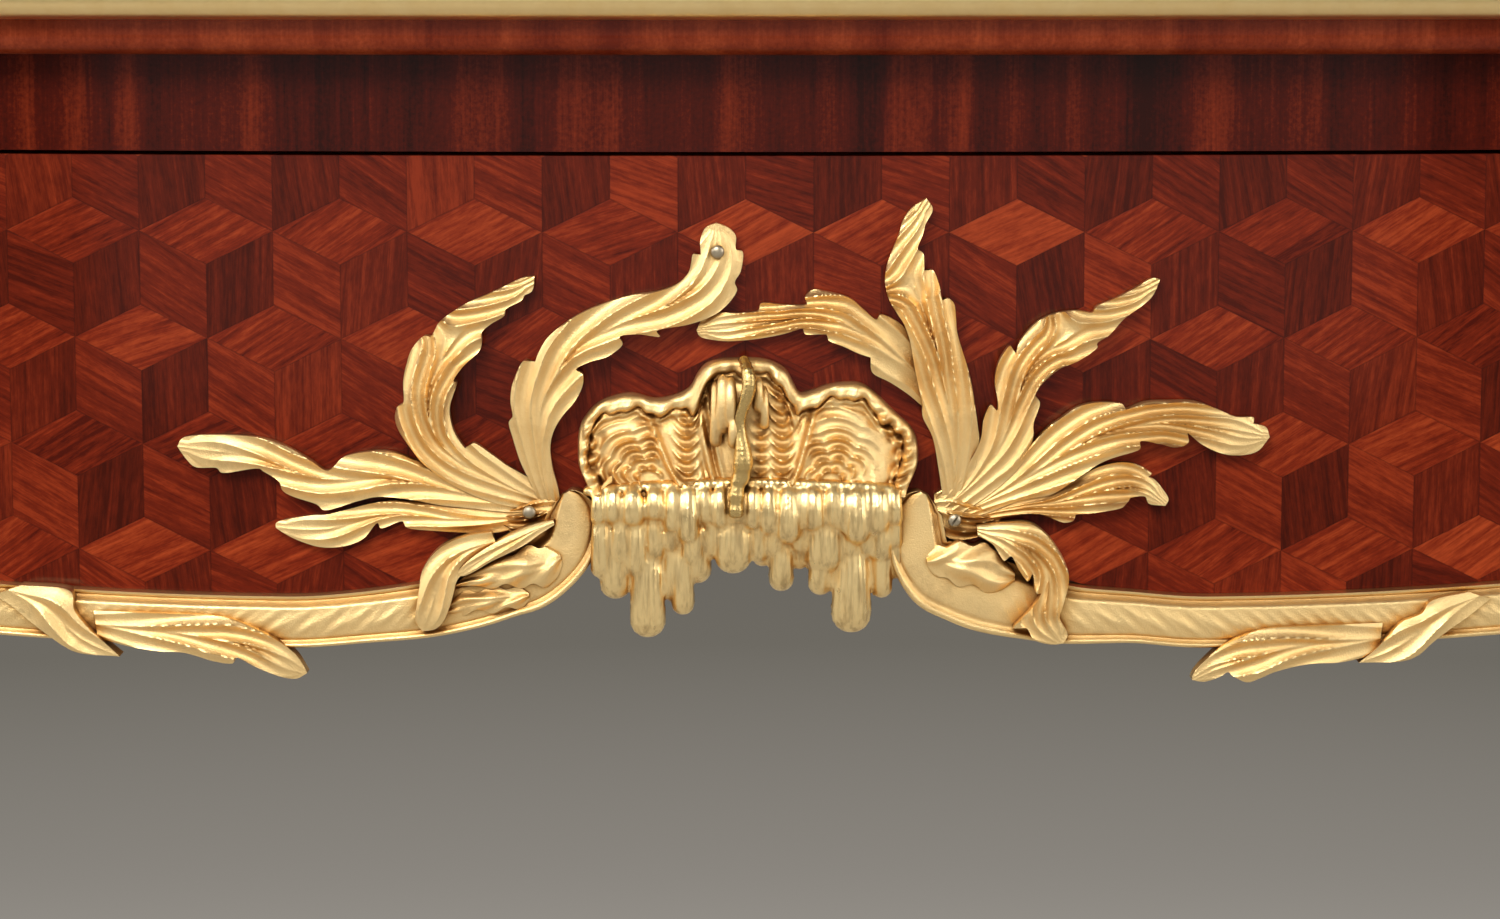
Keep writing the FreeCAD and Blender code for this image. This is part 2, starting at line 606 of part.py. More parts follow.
def make_drawers():
    back = "Sizes.front_proud - Sizes.front_thick"
    skin = front_strip("front_skin", back, "Sizes.front_proud")
    ahead = front_strip("room_ahead_of_boxes", back, "Sizes.desk_depth / 4")
    lips = front_strip("lip_skin", "Sizes.front_proud - Sizes.lip_in", LIP_OUT)
    deep = "Sizes.desk_depth"
    centre = profile("centre_outline", "XZ_Plane", front_corners(centre_edge(FRONT_HALF)), deep)
    keep("centre_drawer_front", common("centre_drawer_front", skin, centre))
    reach = "(Sizes.centre_half - Sizes.box_clear)"
    make_box("centre_drawer", f"-{reach}", reach, ahead)
    whole = centre_edge(FRONT_HALF)
    for name, side in SIDES:
        edge = whole[:2] + [whole[2][:2]] if side < 0 else whole[3:]
        outline = profile(f"centre_lip_{name}_outline", "XZ_Plane", lip_corners(edge), deep)
        strip = common(f"centre_lip_{name}_strip", lips, outline)
        scroll = solid(f"scroll_{name}", scroll_shape(side))
        keep(f"centre_lip_{name}", fuse(f"centre_lip_{name}", [strip, scroll]))
        edge = falling_edge(SIDE_NEAR, SIDE_FAR, side)
        outline = profile(f"{name}_front_outline", "XZ_Plane", front_corners(edge), deep)
        keep(f"{name}_drawer_front", common(f"{name}_drawer_front", skin, outline))
        outline = profile(f"{name}_lip_outline", "XZ_Plane", lip_corners(edge), deep)
        keep(f"{name}_drawer_lip", common(f"{name}_drawer_lip", lips, outline))
        near = "(Sizes.centre_half + Sizes.divider_thick + Sizes.box_clear)"
        far = f"({LEG_IN} - Sizes.box_clear - Sizes.front_proud)"
        low, high = (near, far) if side > 0 else (f"-{far}", f"-{near}")
        make_box(f"{name}_drawer", low, high, ahead)
        keep(f"{name}_drawer_pull", solid(f"{name}_drawer_pull", pull_shape(side)))


def scroll_shape(side):
    """The round scroll that a centre lip ends in, on the face of the front."""
    radius = size("scroll_radius")
    far = size("desk_depth")
    centre = V(side * value(SCROLL_X), -far, value(SCROLL_Z))
    disc = Part.makeCylinder(radius, far, centre, V(0, 1, 0))
    return disc.common(band(size("front_proud"), value(LIP_OUT), 0, value(BED_UNDER), value(LEG_IN)))


def pull_shape(side):
    """A fixed pull: a bowed grip between two posts, each on a round rose."""
    middle = side * value(f"({SIDE_NEAR} + {SIDE_FAR}) / 2")
    z = value(FRONT_TOP) - size("pull_drop")
    proud = size("front_proud")
    face = front_y(middle, proud)
    reach = size("pull_reach")
    grip = size("pull_grip")
    half = size("pull_half")
    inside = band(proud - size("front_thick"), proud, 0, value(BED_UNDER), value(LEG_IN))
    pieces = []
    ends = []
    for end in (-1, 1):
        x = middle + end * half
        ends.append(V(x, face - grip, z))
        rose = Part.makeCylinder(size("pull_rose"), grip + size("front_thick") / 2, ends[-1], V(0, 1, 0))
        pieces.append(rose.cut(inside))
    top = V(middle, face - reach, z)
    arc = Part.Arc(ends[0], top, ends[1])
    ring = Part.Wire(Part.Circle(ends[0], arc.tangent(arc.FirstParameter)[0], grip).toShape())
    bow = Part.Wire(arc.toShape()).makePipeShell([ring], True, False)
    return bow.cut(inside).fuse(pieces)


# Leaves of the two sprays beside the shell: root, middle of one side, tip and middle of the other side, each
# as (across, up) from the middle of its scroll in hundredths of the span of a spray.
LEFT_LEAVES = [
    ((4, 9), (-41, 24), (-92, 24), (-40, 10)),
    ((2, 5), (-30, 10), (-65, 2), (-34, 0)),
    ((-6, 11), (-34, 40), (1, 67), (-19, 37)),
    ((1, 11), (-1, 47), (49, 81), (15, 43)),
]
RIGHT_LEAVES = [
    ((-2, 11), (-16, 54), (-10, 88), (3, 44)),
    ((-5, 33), (-30, 64), (-68, 56), (-29, 50)),
    ((0, 11), (11, 46), (49, 67), (25, 38)),
    ((-1, 8), (35, 36), (79, 26), (41, 21)),
    ((2, 5), (32, 20), (52, 11), (33, 7)),
]
# Where the leaves of a spray grow together, in the same measure.
ROOT = (0, 12)
# The shell's right half from its top down to its drips: a point on the way and the end of each arc, as
# (across, up) from the middle of the arch in hundredths of half the shell's width.
SHELL_TOP = (0, 82)
SHELL_ARCS = [
    ((27, 78), (42, 62)),
    ((64, 60), (80, 49)),
    ((98, 31), (100, 9)),
    ((100, -18), (87, -42)),
    ((84, -58), (73, -73)),
    ((60, -82), (49, -73)),
    ((38, -56), (27, -42)),
    ((13, -49), (0, -42)),
]


def elevation_block(edges):
    """A block through the whole front from edges in its elevation."""
    return closed(edges).extrude(V(0, size("desk_depth"), 0))


def spray_shape(side, leaves):
    """A spray through the whole front: its leaves, grown together at their root."""
    scroll = V(side * value(SCROLL_X), -size("desk_depth"), value(SCROLL_Z))
    unit = size("spray_span") / 100

    def at(point):
        return scroll + V(point[0], 0, point[1]) * unit

    blocks = []
    for leaf in leaves:
        root, one, tip, other = [at(point) for point in leaf]
        edges = [Part.Arc(root, one, tip).toShape(), Part.Arc(tip, other, root).toShape()]
        blocks.append(elevation_block(edges))
    return Part.makeCylinder(size("root_radius"), size("desk_depth"), at(ROOT), V(0, 1, 0)).fuse(blocks)


def shell_outline():
    arch = V(0, -size("desk_depth"), value(ARCH_Z))
    unit = size("shell_half") / 100
    edges = []
    for side in (1, -1):
        start = SHELL_TOP
        for through, end in SHELL_ARCS:
            three = [arch + V(side * p[0], 0, p[1]) * unit for p in (start, through, end)]
            edges.append(Part.Arc(*three).toShape())
            start = end
    return edges


def make_centre_mounts():
    """Two leaf sprays and a shell, bedded on the curved centre front."""
    proud = size("front_proud")
    top = value(BED_UNDER)
    half = value(LEG_IN)
    leaf_room = band(proud, proud + size("spray_thick"), 0, top, half)
    shell_room = band(proud, proud + size("shell_thick"), 0, top, half)
    lips = {name: PARTS[f"centre_lip_{name}"] for name, side in SIDES}
    sprays = []
    for (name, side), leaves in zip(SIDES, (LEFT_LEAVES, RIGHT_LEAVES)):
        spray = solid(f"leaf_spray_{name}_whole", spray_shape(side, leaves).common(leaf_room))
        sprays.append(keep(f"leaf_spray_{name}", cut(f"leaf_spray_{name}", spray, lips[name])))
    shell = solid("shell_whole", elevation_block(shell_outline()).common(shell_room))
    around = fuse("mounts_round_shell", [*lips.values(), *sprays])
    keep("apron_shell", cut("apron_shell", shell, around))


# The upper case: cheeks, back, top board, brass edge, trims and gallery.
CASE_BACK_Y = f"({BACK_Y} + {BOARD_OUT} - Sizes.case_set)"
PANEL_Y = f"({CASE_BACK_Y} - Sizes.back_thick)"
AXIS_Y = f"({PANEL_Y} - Sizes.cylinder_clear - Sizes.cylinder_radius)"
SLIDE_UNDER = f"({BED_TOP} + Sizes.slide_clear)"
SLIDE_TOP = f"({SLIDE_UNDER} + Sizes.slide_thick)"
AXIS_Z = f"({SLIDE_TOP} + Sizes.cylinder_lift)"
CHEEK_TOP = f"({AXIS_Z} + Sizes.cylinder_radius + Sizes.top_clear)"
CHEEK_OUT = "(Sizes.desk_width / 2 - Sizes.cheek_set)"
CHEEK_IN = f"({CHEEK_OUT} - Sizes.cheek_thick)"
CHEEK_RADIUS = "(Sizes.cylinder_radius + Sizes.cheek_margin)"
TRIM_RADIUS = f"({CHEEK_RADIUS} + Sizes.trim_thick)"
CYLINDER_END = f"({CHEEK_IN} - Sizes.side_clear)"
ARM_IN = f"({CYLINDER_END} - Sizes.arm_thick)"
CYLINDER_INNER = "(Sizes.cylinder_radius - Sizes.cylinder_thick)"
TOP_UNDER_RISE = "(Sizes.cylinder_radius + Sizes.top_clear)"
TOP_HALF = f"({CHEEK_OUT} + Sizes.top_over)"
TOP_SURFACE = f"({CHEEK_TOP} + Sizes.top_thick)"


def crown_y(radius):
    """Where a curve of that radius about the pivot meets the underside of the top board."""
    return f"({AXIS_Y} - sqrt({radius}^2 - {TOP_UNDER_RISE}^2))"


TOP_FRONT_Y = f"({crown_y(CHEEK_RADIUS)} - Sizes.top_over)"
TOP_BACK_Y = f"({CASE_BACK_Y} + Sizes.top_over)"


def make_case():
    front = f"({AXIS_Y} - {CHEEK_RADIUS})"
    outline = [
        (front, BED_TOP),
        (CASE_BACK_Y, BED_TOP),
        (CASE_BACK_Y, CHEEK_TOP),
        (crown_y(CHEEK_RADIUS), CHEEK_TOP, CHEEK_RADIUS, 1),
        (front, AXIS_Z),
    ]
    trim_front = f"({AXIS_Y} - {TRIM_RADIUS})"
    strip = [
        (trim_front, BED_TOP),
        (front, BED_TOP),
        (front, AXIS_Z, CHEEK_RADIUS, -1),
        (crown_y(CHEEK_RADIUS), CHEEK_TOP),
        (crown_y(TRIM_RADIUS), CHEEK_TOP, TRIM_RADIUS, 1),
        (trim_front, AXIS_Z),
    ]
    bushes = []
    trims = []
    for name, side in SIDES:
        middle = {"x": f"{side} * ({CHEEK_OUT} - Sizes.cheek_thick / 2)"}
        board = profile(f"cheek_{name}_board", "YZ_Plane", outline, "Sizes.cheek_thick", middle)
        trims.append(profile(f"cheek_{name}_trim", "YZ_Plane", strip, "Sizes.cheek_thick", middle))
        base = (f"{side} * {CHEEK_IN}", AXIS_Y, AXIS_Z)
        seat = rod(f"bush_{name}_body", "Sizes.bush_radius", "Sizes.bush_length", base, V(side, 0, 0))
        keep(f"cheek_{name}", cut(f"cheek_{name}", board, seat))
        bore = rod(f"bush_{name}_bore", "Sizes.pivot_radius + Sizes.pivot_clear", "Sizes.bush_length",
                   base, V(side, 0, 0))
        bushes.append(cut(f"bush_{name}", seat, bore))
    keep("pivot_bushes", group("pivot_bushes", bushes))
    keep("cheek_trims", group("cheek_trims", trims))
    across = (f"-{CHEEK_IN}", CHEEK_IN)
    keep("case_back", box("case_back", across, (PANEL_Y, CASE_BACK_Y), (BED_TOP, CHEEK_TOP)))
    across = (f"-{TOP_HALF}", TOP_HALF)
    keep("top_board", box("top_board", across, (TOP_FRONT_Y, TOP_BACK_Y), (CHEEK_TOP, TOP_SURFACE)))
    keep("top_edge_moulding", solid("top_edge_moulding", top_edge_shape()))


def top_edge_shape():
    """The brass edge round the top board, its outer edges and corners rounded."""
    half = value(TOP_HALF)
    low = V(-half, value(TOP_FRONT_Y), value(CHEEK_TOP))
    deep = value(f"{TOP_BACK_Y} - {TOP_FRONT_Y}")
    thick = size("top_thick")
    edge = size("top_edge")
    board = Part.makeBox(2 * half, deep, thick, low)
    outer = Part.makeBox(2 * (half + edge), deep + 2 * edge, thick, low - V(edge, edge, 0))
    upright = [e for e in outer.Edges if e.BoundBox.ZLength > thick / 2]
    outer = outer.makeFillet(edge, upright)
    level = [e for e in outer.Edges if e.BoundBox.ZLength < 0.001]
    return outer.makeFillet(size("edge_round"), level).cut(board)


BALUSTER_SIDES = 8


def make_gallery():
    """Bars on three sides of the top board, with balusters between them."""
    half = f"({TOP_HALF} - Sizes.gallery_set)"
    back = f"({TOP_BACK_Y} - Sizes.gallery_set)"
    front = f"({TOP_FRONT_Y} + Sizes.gallery_set)"
    top = f"({TOP_SURFACE} + Sizes.gallery_height)"
    inner = f"({half} - Sizes.gallery_thick)"
    near = f"({back} - Sizes.gallery_thick)"
    levels = [
        ("lower", (TOP_SURFACE, f"{TOP_SURFACE} + Sizes.gallery_bar")),
        ("upper", (f"{top} - Sizes.gallery_bar", top)),
    ]
    bars = []
    for level, height in levels:
        bars.append(box(f"gallery_{level}_back", (f"-{half}", half), (near, back), height))
        for name, side in SIDES:
            x = (inner, half) if side > 0 else (f"-{half}", f"-{inner}")
            bars.append(box(f"gallery_{level}_{name}", x, (front, near), height))
    keep("gallery_bars", group("gallery_bars", bars))
    turned = baluster_shape()
    centre = size("gallery_thick") / 2
    x_line = value(half) - centre
    y_line = value(back) - centre
    spots = [V(x, y_line, 0) for x in spaced(-x_line, x_line)]
    for y in spaced(value(front) + centre, y_line)[:-1]:
        spots += [V(-x_line, y, 0), V(x_line, y, 0)]
    balusters = Part.makeCompound([turned.translated(spot) for spot in spots])
    keep("gallery_balusters", solid("gallery_balusters", balusters))


def spaced(low, high):
    """Evenly spaced places from low to high, about the gallery's pitch apart."""
    count = max(1, round((high - low) / size("gallery_pitch")))
    return [low + (high - low) * index / count for index in range(count + 1)]


def baluster_shape():
    """One baluster between the gallery's bars, on the Z axis: a cut urn with flat sides."""
    low = value(TOP_SURFACE) + size("gallery_bar")
    high = value(TOP_SURFACE) + size("gallery_height") - size("gallery_bar")
    wide = size("gallery_thick") / 2
    neck = wide / 2
    belly = low + (high - low) / 3
    shoulder = high - (high - low) / 3
    rings = []
    for height, radius in ((low, neck), (belly, wide), (shoulder, neck), (high, neck)):
        turns = [2 * math.pi * index / BALUSTER_SIDES for index in range(BALUSTER_SIDES)]
        points = [V(radius * math.cos(turn), radius * math.sin(turn), height) for turn in turns]
        rings.append(Part.makePolygon(points + points[:1]))
    return Part.makeLoft(rings, True, True)


# The cylinder: its curved wall, the brass rail along its edge, arms, pivots, handles and escutcheon.
def sector(name, inner, outer, angle):
    """A stretch of tube about the pivot, from the front edge upwards, as long as the cylinder."""
    far_y = f"cos({angle})"
    far_z = f"sin({angle})"
    corners = [
        (f"{AXIS_Y} - {outer}", AXIS_Z, outer, -1),
        (f"{AXIS_Y} - {outer} * {far_y}", f"{AXIS_Z} + {outer} * {far_z}"),
        (f"{AXIS_Y} - {inner} * {far_y}", f"{AXIS_Z} + {inner} * {far_z}", inner, 1),
        (f"{AXIS_Y} - {inner}", AXIS_Z),
    ]
    return profile(name, "YZ_Plane", corners, f"2 * {CYLINDER_END}")


def pivot_point(x=0.0):
    return V(x, value(AXIS_Y), value(AXIS_Z))


def outward(angle):
    """The direction away from the pivot at an angle above the front."""
    turn = math.radians(angle)
    return V(0, -math.cos(turn), math.sin(turn))


def knob_shape(base, axis, reach, radius):
    """A turned knob: a foot, a thin neck and a ball."""
    foot = Part.makeCylinder(radius * 0.9, reach * 0.12, base, axis)
    neck = Part.makeCylinder(radius * 0.45, reach - radius, base, axis)
    ball = Part.makeSphere(radius, base + axis * (reach - radius))
    return foot.fuse([neck, ball])


def make_cylinder():
    outer = "Sizes.cylinder_radius"
    keep("cylinder_wall", sector("cylinder_wall", CYLINDER_INNER, outer, "Sizes.cylinder_span"))
    rail_outer = f"({outer} + Sizes.rail_proud)"
    keep("cylinder_edge_rail", sector("cylinder_edge_rail", outer, rail_outer, "Sizes.rail_angle"))
    arms = []
    pivots = []
    for name, side in SIDES:
        base = (f"{side} * {ARM_IN}", AXIS_Y, AXIS_Z)
        length = f"({CHEEK_IN} + Sizes.bush_length - Sizes.side_clear) - {ARM_IN}"
        pivot = rod(f"pivot_{name}", "Sizes.pivot_radius", length, base, V(side, 0, 0))
        pivots.append(pivot)
        arms.append(cut(f"arm_{name}", solid(f"arm_{name}_whole", arm_shape(side)), pivot))
    keep("cylinder_arms", group("cylinder_arms", arms))
    keep("cylinder_pivots", group("cylinder_pivots", pivots))
    handles = []
    away = outward(size("handle_angle"))
    for name, side in SIDES:
        base = pivot_point(side * size("handle_half")) + away * size("cylinder_radius")
        shape = knob_shape(base, away, size("handle_reach"), size("handle_radius"))
        handles.append(solid(f"handle_{name}", shape))
    keep("cylinder_handles", group("cylinder_handles", handles))
    keep("cylinder_escutcheon", solid("cylinder_escutcheon", escutcheon_shape()))


def arm_shape(side):
    """A hub and two spokes that carry one end of the cylinder's wall."""
    thick = size("arm_thick")
    wide = size("arm_width")
    reach = value(CYLINDER_INNER)
    low = value(ARM_IN) if side > 0 else -value(CYLINDER_END)
    centre = pivot_point(low)
    shape = Part.makeCylinder(size("hub_radius"), thick, centre, V(1, 0, 0))
    disc = Part.makeCylinder(reach, thick, centre, V(1, 0, 0))
    clear = math.degrees(math.asin(min(1.0, 2 * wide / reach)))
    for angle in (clear + size("rail_angle"), size("cylinder_span") - clear):
        spoke = Part.makeBox(thick, reach * 1.1, wide, V(low, -reach * 1.1, -wide / 2))
        spoke.rotate(V(0, 0, 0), V(1, 0, 0), -angle)
        shape = shape.fuse(spoke.translated(V(0, centre.y, centre.z)).common(disc))
    return shape.removeSplitter()


def escutcheon_shape():
    """An oval plate bent to the cylinder, with a keyhole."""
    away = outward(size("plate_angle"))
    centre = pivot_point() + away * value(CYLINDER_INNER)
    tall = size("plate_half_height")
    wide = size("plate_half_width")
    oval = Part.Ellipse(V(0, 0, 0), tall, wide).toShape()
    block = Part.Face(Part.Wire(oval)).extrude(V(0, 0, size("cylinder_radius")))
    key = Part.makeCylinder(tall / 9, size("cylinder_radius"), V(tall / 9, 0, 0))
    slot = Part.makeBox(tall / 3, tall / 9, size("cylinder_radius"), V(-tall / 4, -tall / 18, 0))
    block = block.cut([key, slot])
    up = V(0, away.z, -away.y)
    block.Placement = FreeCAD.Placement(centre, FreeCAD.Rotation(up, V(), away, "ZXY"))
    low = V(-2 * tall, value(AXIS_Y), value(AXIS_Z))
    outer = Part.makeCylinder(size("cylinder_radius") + size("plate_thick"), 4 * tall, low, V(1, 0, 0))
    inner = Part.makeCylinder(size("cylinder_radius"), 4 * tall, low, V(1, 0, 0))
    return block.common(outer.cut(inner))


# The writing slide, with its lipping, leather, knobs and guides.
SLIDE_HALF = f"({ARM_IN} - Sizes.arm_clear - Sizes.guide_thin - Sizes.slide_clear)"
SLIDE_FRONT_Y = f"({AXIS_Y} - Sizes.cylinder_radius - Sizes.slide_nose)"
SLIDE_BACK_Y = f"({SLIDE_FRONT_Y} + Sizes.slide_depth)"
LIPPING_Y = f"({SLIDE_FRONT_Y} + Sizes.lipping)"


def make_slide():
    across = (f"-{SLIDE_HALF}", SLIDE_HALF)
    height = (SLIDE_UNDER, SLIDE_TOP)
    keep("slide_lipping", box("slide_lipping", across, (SLIDE_FRONT_Y, LIPPING_Y), height))
    blank = box("slide_board_blank", across, (LIPPING_Y, SLIDE_BACK_Y), height)
    inset = f"({SLIDE_HALF} - Sizes.leather_margin)"
    deep = (f"{LIPPING_Y} + Sizes.leather_margin", f"{SLIDE_BACK_Y} - Sizes.leather_margin")
    let_in = (f"{SLIDE_TOP} - Sizes.leather_thick", SLIDE_TOP)
    leather = box("slide_leather", (f"-{inset}", inset), deep, let_in)
    keep("slide_board", cut("slide_board", blank, leather))
    keep("slide_leather", leather)
    knobs = []
    middle = value(f"({SLIDE_UNDER} + {SLIDE_TOP}) / 2")
    for name, side in SIDES:
        base = V(side * size("slide_knob_half"), value(SLIDE_FRONT_Y), middle)
        shape = knob_shape(base, V(0, -1, 0), size("slide_knob_reach"), size("slide_knob_radius"))
        knobs.append(solid(f"slide_knob_{name}", shape))
    keep("slide_knobs", group("slide_knobs", knobs))
    guides = []
    near = f"({SLIDE_HALF} + Sizes.slide_clear)"
    hub_y = f"({AXIS_Y} - 2 * Sizes.hub_radius - Sizes.slide_nose)"
    for name, side in SIDES:
        stretches = [("front", CHEEK_IN, (SLIDE_FRONT_Y, hub_y)),
                     ("rear", f"({near} + Sizes.guide_thin)", (hub_y, PANEL_Y))]
        for place, far, along in stretches:
            x = (near, far) if side > 0 else (f"-{far}", f"-{near}")
            guides.append(box(f"guide_{place}_{name}", x, along, (BED_TOP, SLIDE_TOP)))
    keep("slide_guides", group("slide_guides", guides))


# The fitment inside: a plinth behind the slide, small drawers and pigeonholes over them.
FIT_HALF = f"({ARM_IN} - Sizes.fit_clear)"
FIT_BACK_Y = f"({PANEL_Y} - Sizes.fit_back)"
FIT_FRONT_Y = f"({FIT_BACK_Y} - Sizes.fit_depth)"
FIT_FLOOR = f"({AXIS_Z} + Sizes.fit_board)"
SHELF_UNDER = f"({FIT_FLOOR} + Sizes.fit_drawer_height)"
SHELF_TOP = f"({SHELF_UNDER} + Sizes.fit_board)"
FIT_TOP = f"({AXIS_Z} + Sizes.fit_height)"
FIT_ROOF = f"({FIT_TOP} - Sizes.fit_board)"
BAY_WIDTH = f"((2 * {FIT_HALF} - 4 * Sizes.fit_board) / 3)"
BAYS = ("left", "centre", "right")
HOLES_PER_BAY = 3


def bay_span(index):
    """The clear width of a bay, as two expressions."""
    low = f"(-{FIT_HALF} + Sizes.fit_board + {index} * ({BAY_WIDTH} + Sizes.fit_board))"
    return low, f"({low} + {BAY_WIDTH})"


def make_fitment():
    across = (f"-{FIT_HALF}", FIT_HALF)
    rear = f"({SLIDE_BACK_Y} + Sizes.slide_nose)"
    depth = (FIT_FRONT_Y, FIT_BACK_Y)
    inside = (FIT_FRONT_Y, f"{FIT_BACK_Y} - Sizes.fit_board")
    boards = [
        box("fitment_plinth", across, (rear, PANEL_Y), (BED_TOP, AXIS_Z)),
        box("fitment_floor", across, (FIT_FRONT_Y, PANEL_Y), (AXIS_Z, FIT_FLOOR)),
        box("fitment_roof", across, depth, (FIT_ROOF, FIT_TOP)),
    ]
    inner = (f"-{FIT_HALF} + Sizes.fit_board", f"{FIT_HALF} - Sizes.fit_board")
    boards.append(box("fitment_back", inner, (inside[1], FIT_BACK_Y), (FIT_FLOOR, FIT_ROOF)))
    for name, side in SIDES:
        x = (inner[1], across[1]) if side > 0 else (across[0], inner[0])
        boards.append(box(f"fitment_end_{name}", x, depth, (FIT_FLOOR, FIT_ROOF)))
    for index, bay in enumerate(BAYS):
        low, high = bay_span(index)
        boards.append(box(f"fitment_shelf_{bay}", (low, high), inside, (SHELF_UNDER, SHELF_TOP)))
        if index:
            x = (f"{low} - Sizes.fit_board", low)
            boards.append(box(f"fitment_upright_{bay}", x, inside, (FIT_FLOOR, FIT_ROOF)))
        for hole in range(1, HOLES_PER_BAY):
            middle = f"({low} + {BAY_WIDTH} * {hole} / {HOLES_PER_BAY})"
            x = (f"{middle} - Sizes.small_side / 2", f"{middle} + Sizes.small_side / 2")
            boards.append(box(f"pigeonhole_{bay}_{hole}", x, inside, (SHELF_TOP, FIT_ROOF)))
        make_small_drawer(bay, low, high)
    keep("fitment_boards", group("fitment_boards", boards))


def make_small_drawer(bay, low, high):
    """A front, two sides, a back and a bottom, and a turned knob."""
    name = f"small_drawer_{bay}"
    x = (f"{low} + Sizes.small_gap", f"{high} - Sizes.small_gap")
    z = (f"{FIT_FLOOR} + Sizes.small_gap / 4", f"{SHELF_UNDER} - Sizes.small_gap")
    behind = f"({FIT_FRONT_Y} + Sizes.small_front)"
    far = f"({FIT_BACK_Y} - Sizes.fit_board - Sizes.small_front)"
    inner = (f"{x[0]} + Sizes.small_side", f"{x[1]} - Sizes.small_side")
    floor = f"({z[0]} + Sizes.small_side)"
    boards = [
        box(f"{name}_front", x, (FIT_FRONT_Y, behind), z),
        box(f"{name}_side_a", (x[0], inner[0]), (behind, far), z),
        box(f"{name}_side_b", (inner[1], x[1]), (behind, far), z),
        box(f"{name}_bottom", inner, (behind, far), (z[0], floor)),
        box(f"{name}_back", inner, (f"{far} - Sizes.small_side", far), (floor, z[1])),
    ]
    keep(name, group(name, boards))
    base = V(value(f"({low} + {high}) / 2"), value(FIT_FRONT_Y), value(f"({z[0]} + {z[1]}) / 2"))
    shape = knob_shape(base, V(0, -1, 0), size("small_knob_reach"), size("small_knob_radius"))
    keep(f"small_knob_{bay}", solid(f"small_knob_{bay}", shape))


def write_parts():
    """Checks every object, then writes each sub-part to a file of its own."""
    doc.recompute()
    failed = [thing.Label for thing in doc.Objects if {"Invalid", "Error"} & set(thing.State)]
    for label, thing in PARTS.items():
        if thing.Shape.isNull() or not thing.Shape.isValid() or not thing.Shape.Solids:
            failed.append(label)
    if failed:
        raise SystemExit(f"these did not build: {failed}")
    os.makedirs("parts", exist_ok=True)
    for label, thing in PARTS.items():
        thing.Shape.exportStep(os.path.join("parts", f"{label}.step"))
        print(label, len(thing.Shape.Solids), "solids", round(thing.Shape.Volume / 1000), "cm3")


make_legs()
make_bed()
make_frame()
make_drawers()
make_centre_mounts()
make_case()
make_gallery()
make_cylinder()
make_slide()
make_fitment()
write_parts()
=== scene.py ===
# %% [markdown]
# # A cylinder desk with a cube-parquetry front and gilt-bronze mounts
# The measured model of the desk is loaded first and stays as it is. What is added here is what a cabinet
# maker's helpers add to the bare case: veneer, polish, leather, turned brass, and the chased bronze
# mounts. Sizes are metres, the front looks towards -Y, and Z is up.

# %% The measured desk
import json
import math

import bpy
import numpy as np
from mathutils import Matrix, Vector
from mathutils.bvhtree import BVHTree


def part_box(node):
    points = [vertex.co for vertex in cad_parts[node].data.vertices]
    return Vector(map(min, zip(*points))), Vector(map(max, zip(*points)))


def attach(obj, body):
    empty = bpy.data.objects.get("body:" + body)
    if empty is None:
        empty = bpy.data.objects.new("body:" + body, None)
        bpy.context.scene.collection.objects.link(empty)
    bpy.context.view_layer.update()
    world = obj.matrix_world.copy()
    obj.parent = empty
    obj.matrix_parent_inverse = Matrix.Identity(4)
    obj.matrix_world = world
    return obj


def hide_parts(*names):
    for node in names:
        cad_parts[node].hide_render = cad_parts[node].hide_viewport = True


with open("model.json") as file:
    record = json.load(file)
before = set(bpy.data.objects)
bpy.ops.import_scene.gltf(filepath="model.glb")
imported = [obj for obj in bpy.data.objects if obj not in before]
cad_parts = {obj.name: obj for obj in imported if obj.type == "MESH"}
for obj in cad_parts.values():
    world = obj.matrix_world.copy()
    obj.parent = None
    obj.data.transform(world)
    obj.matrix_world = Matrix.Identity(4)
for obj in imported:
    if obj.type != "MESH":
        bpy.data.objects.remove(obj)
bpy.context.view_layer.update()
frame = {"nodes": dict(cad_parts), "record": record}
MM = 0.001
print("the desk has", len(frame["nodes"]), "pieces")

# %% [markdown]
# ## The curve of the front
# Seen from above, the front swells in the middle and hollows towards the legs: one large arc, met on
# each side by a smaller one that curves the other way. The mounts follow it, so it is written once.

# %% Front curve
BOW_RADIUS = 1.6
BOW_SHARE = 0.2
HOLLOW_RADIUS = 1.0
DRAWER_PROUD = 0.002
FACE_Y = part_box("centre_drawer_front")[0].y + DRAWER_PROUD
FRONT_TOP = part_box("centre_drawer_front")[1].z
BOW_HALF = BOW_RADIUS * BOW_SHARE
BOW_REACH = BOW_HALF * 1.1
HOLLOW_X = (BOW_RADIUS + HOLLOW_RADIUS) * BOW_SHARE
HOLLOW_RISE = (BOW_RADIUS + HOLLOW_RADIUS) * math.sqrt(1 - BOW_SHARE ** 2)


def front_y(x, out):
    """Where the front stands at x, out metres before its face."""
    x = np.abs(x)
    swell = BOW_RADIUS + out
    hollow = HOLLOW_RADIUS - out
    bow_y = FACE_Y + BOW_RADIUS - np.sqrt(swell ** 2 - np.minimum(x, BOW_REACH) ** 2)
    far = np.clip(x - HOLLOW_X, -hollow, hollow)
    hollow_y = FACE_Y + BOW_RADIUS - HOLLOW_RISE + np.sqrt(hollow ** 2 - far ** 2)
    return np.where(x <= swell * BOW_SHARE, bow_y, hollow_y)


NEAR_LEG = 0.55
print("the face stands at", round(FACE_Y, 4), "in the middle and",
      round(float(front_y(NEAR_LEG, 0)), 4), "near a leg")

# %% [markdown]
# ## Mixing a finish
# Every finish is a node tree. Arithmetic in nodes is hard to read, so a small wrapper lets it be written
# as ordinary sums: each value knows its socket, and each operator adds one Math node.

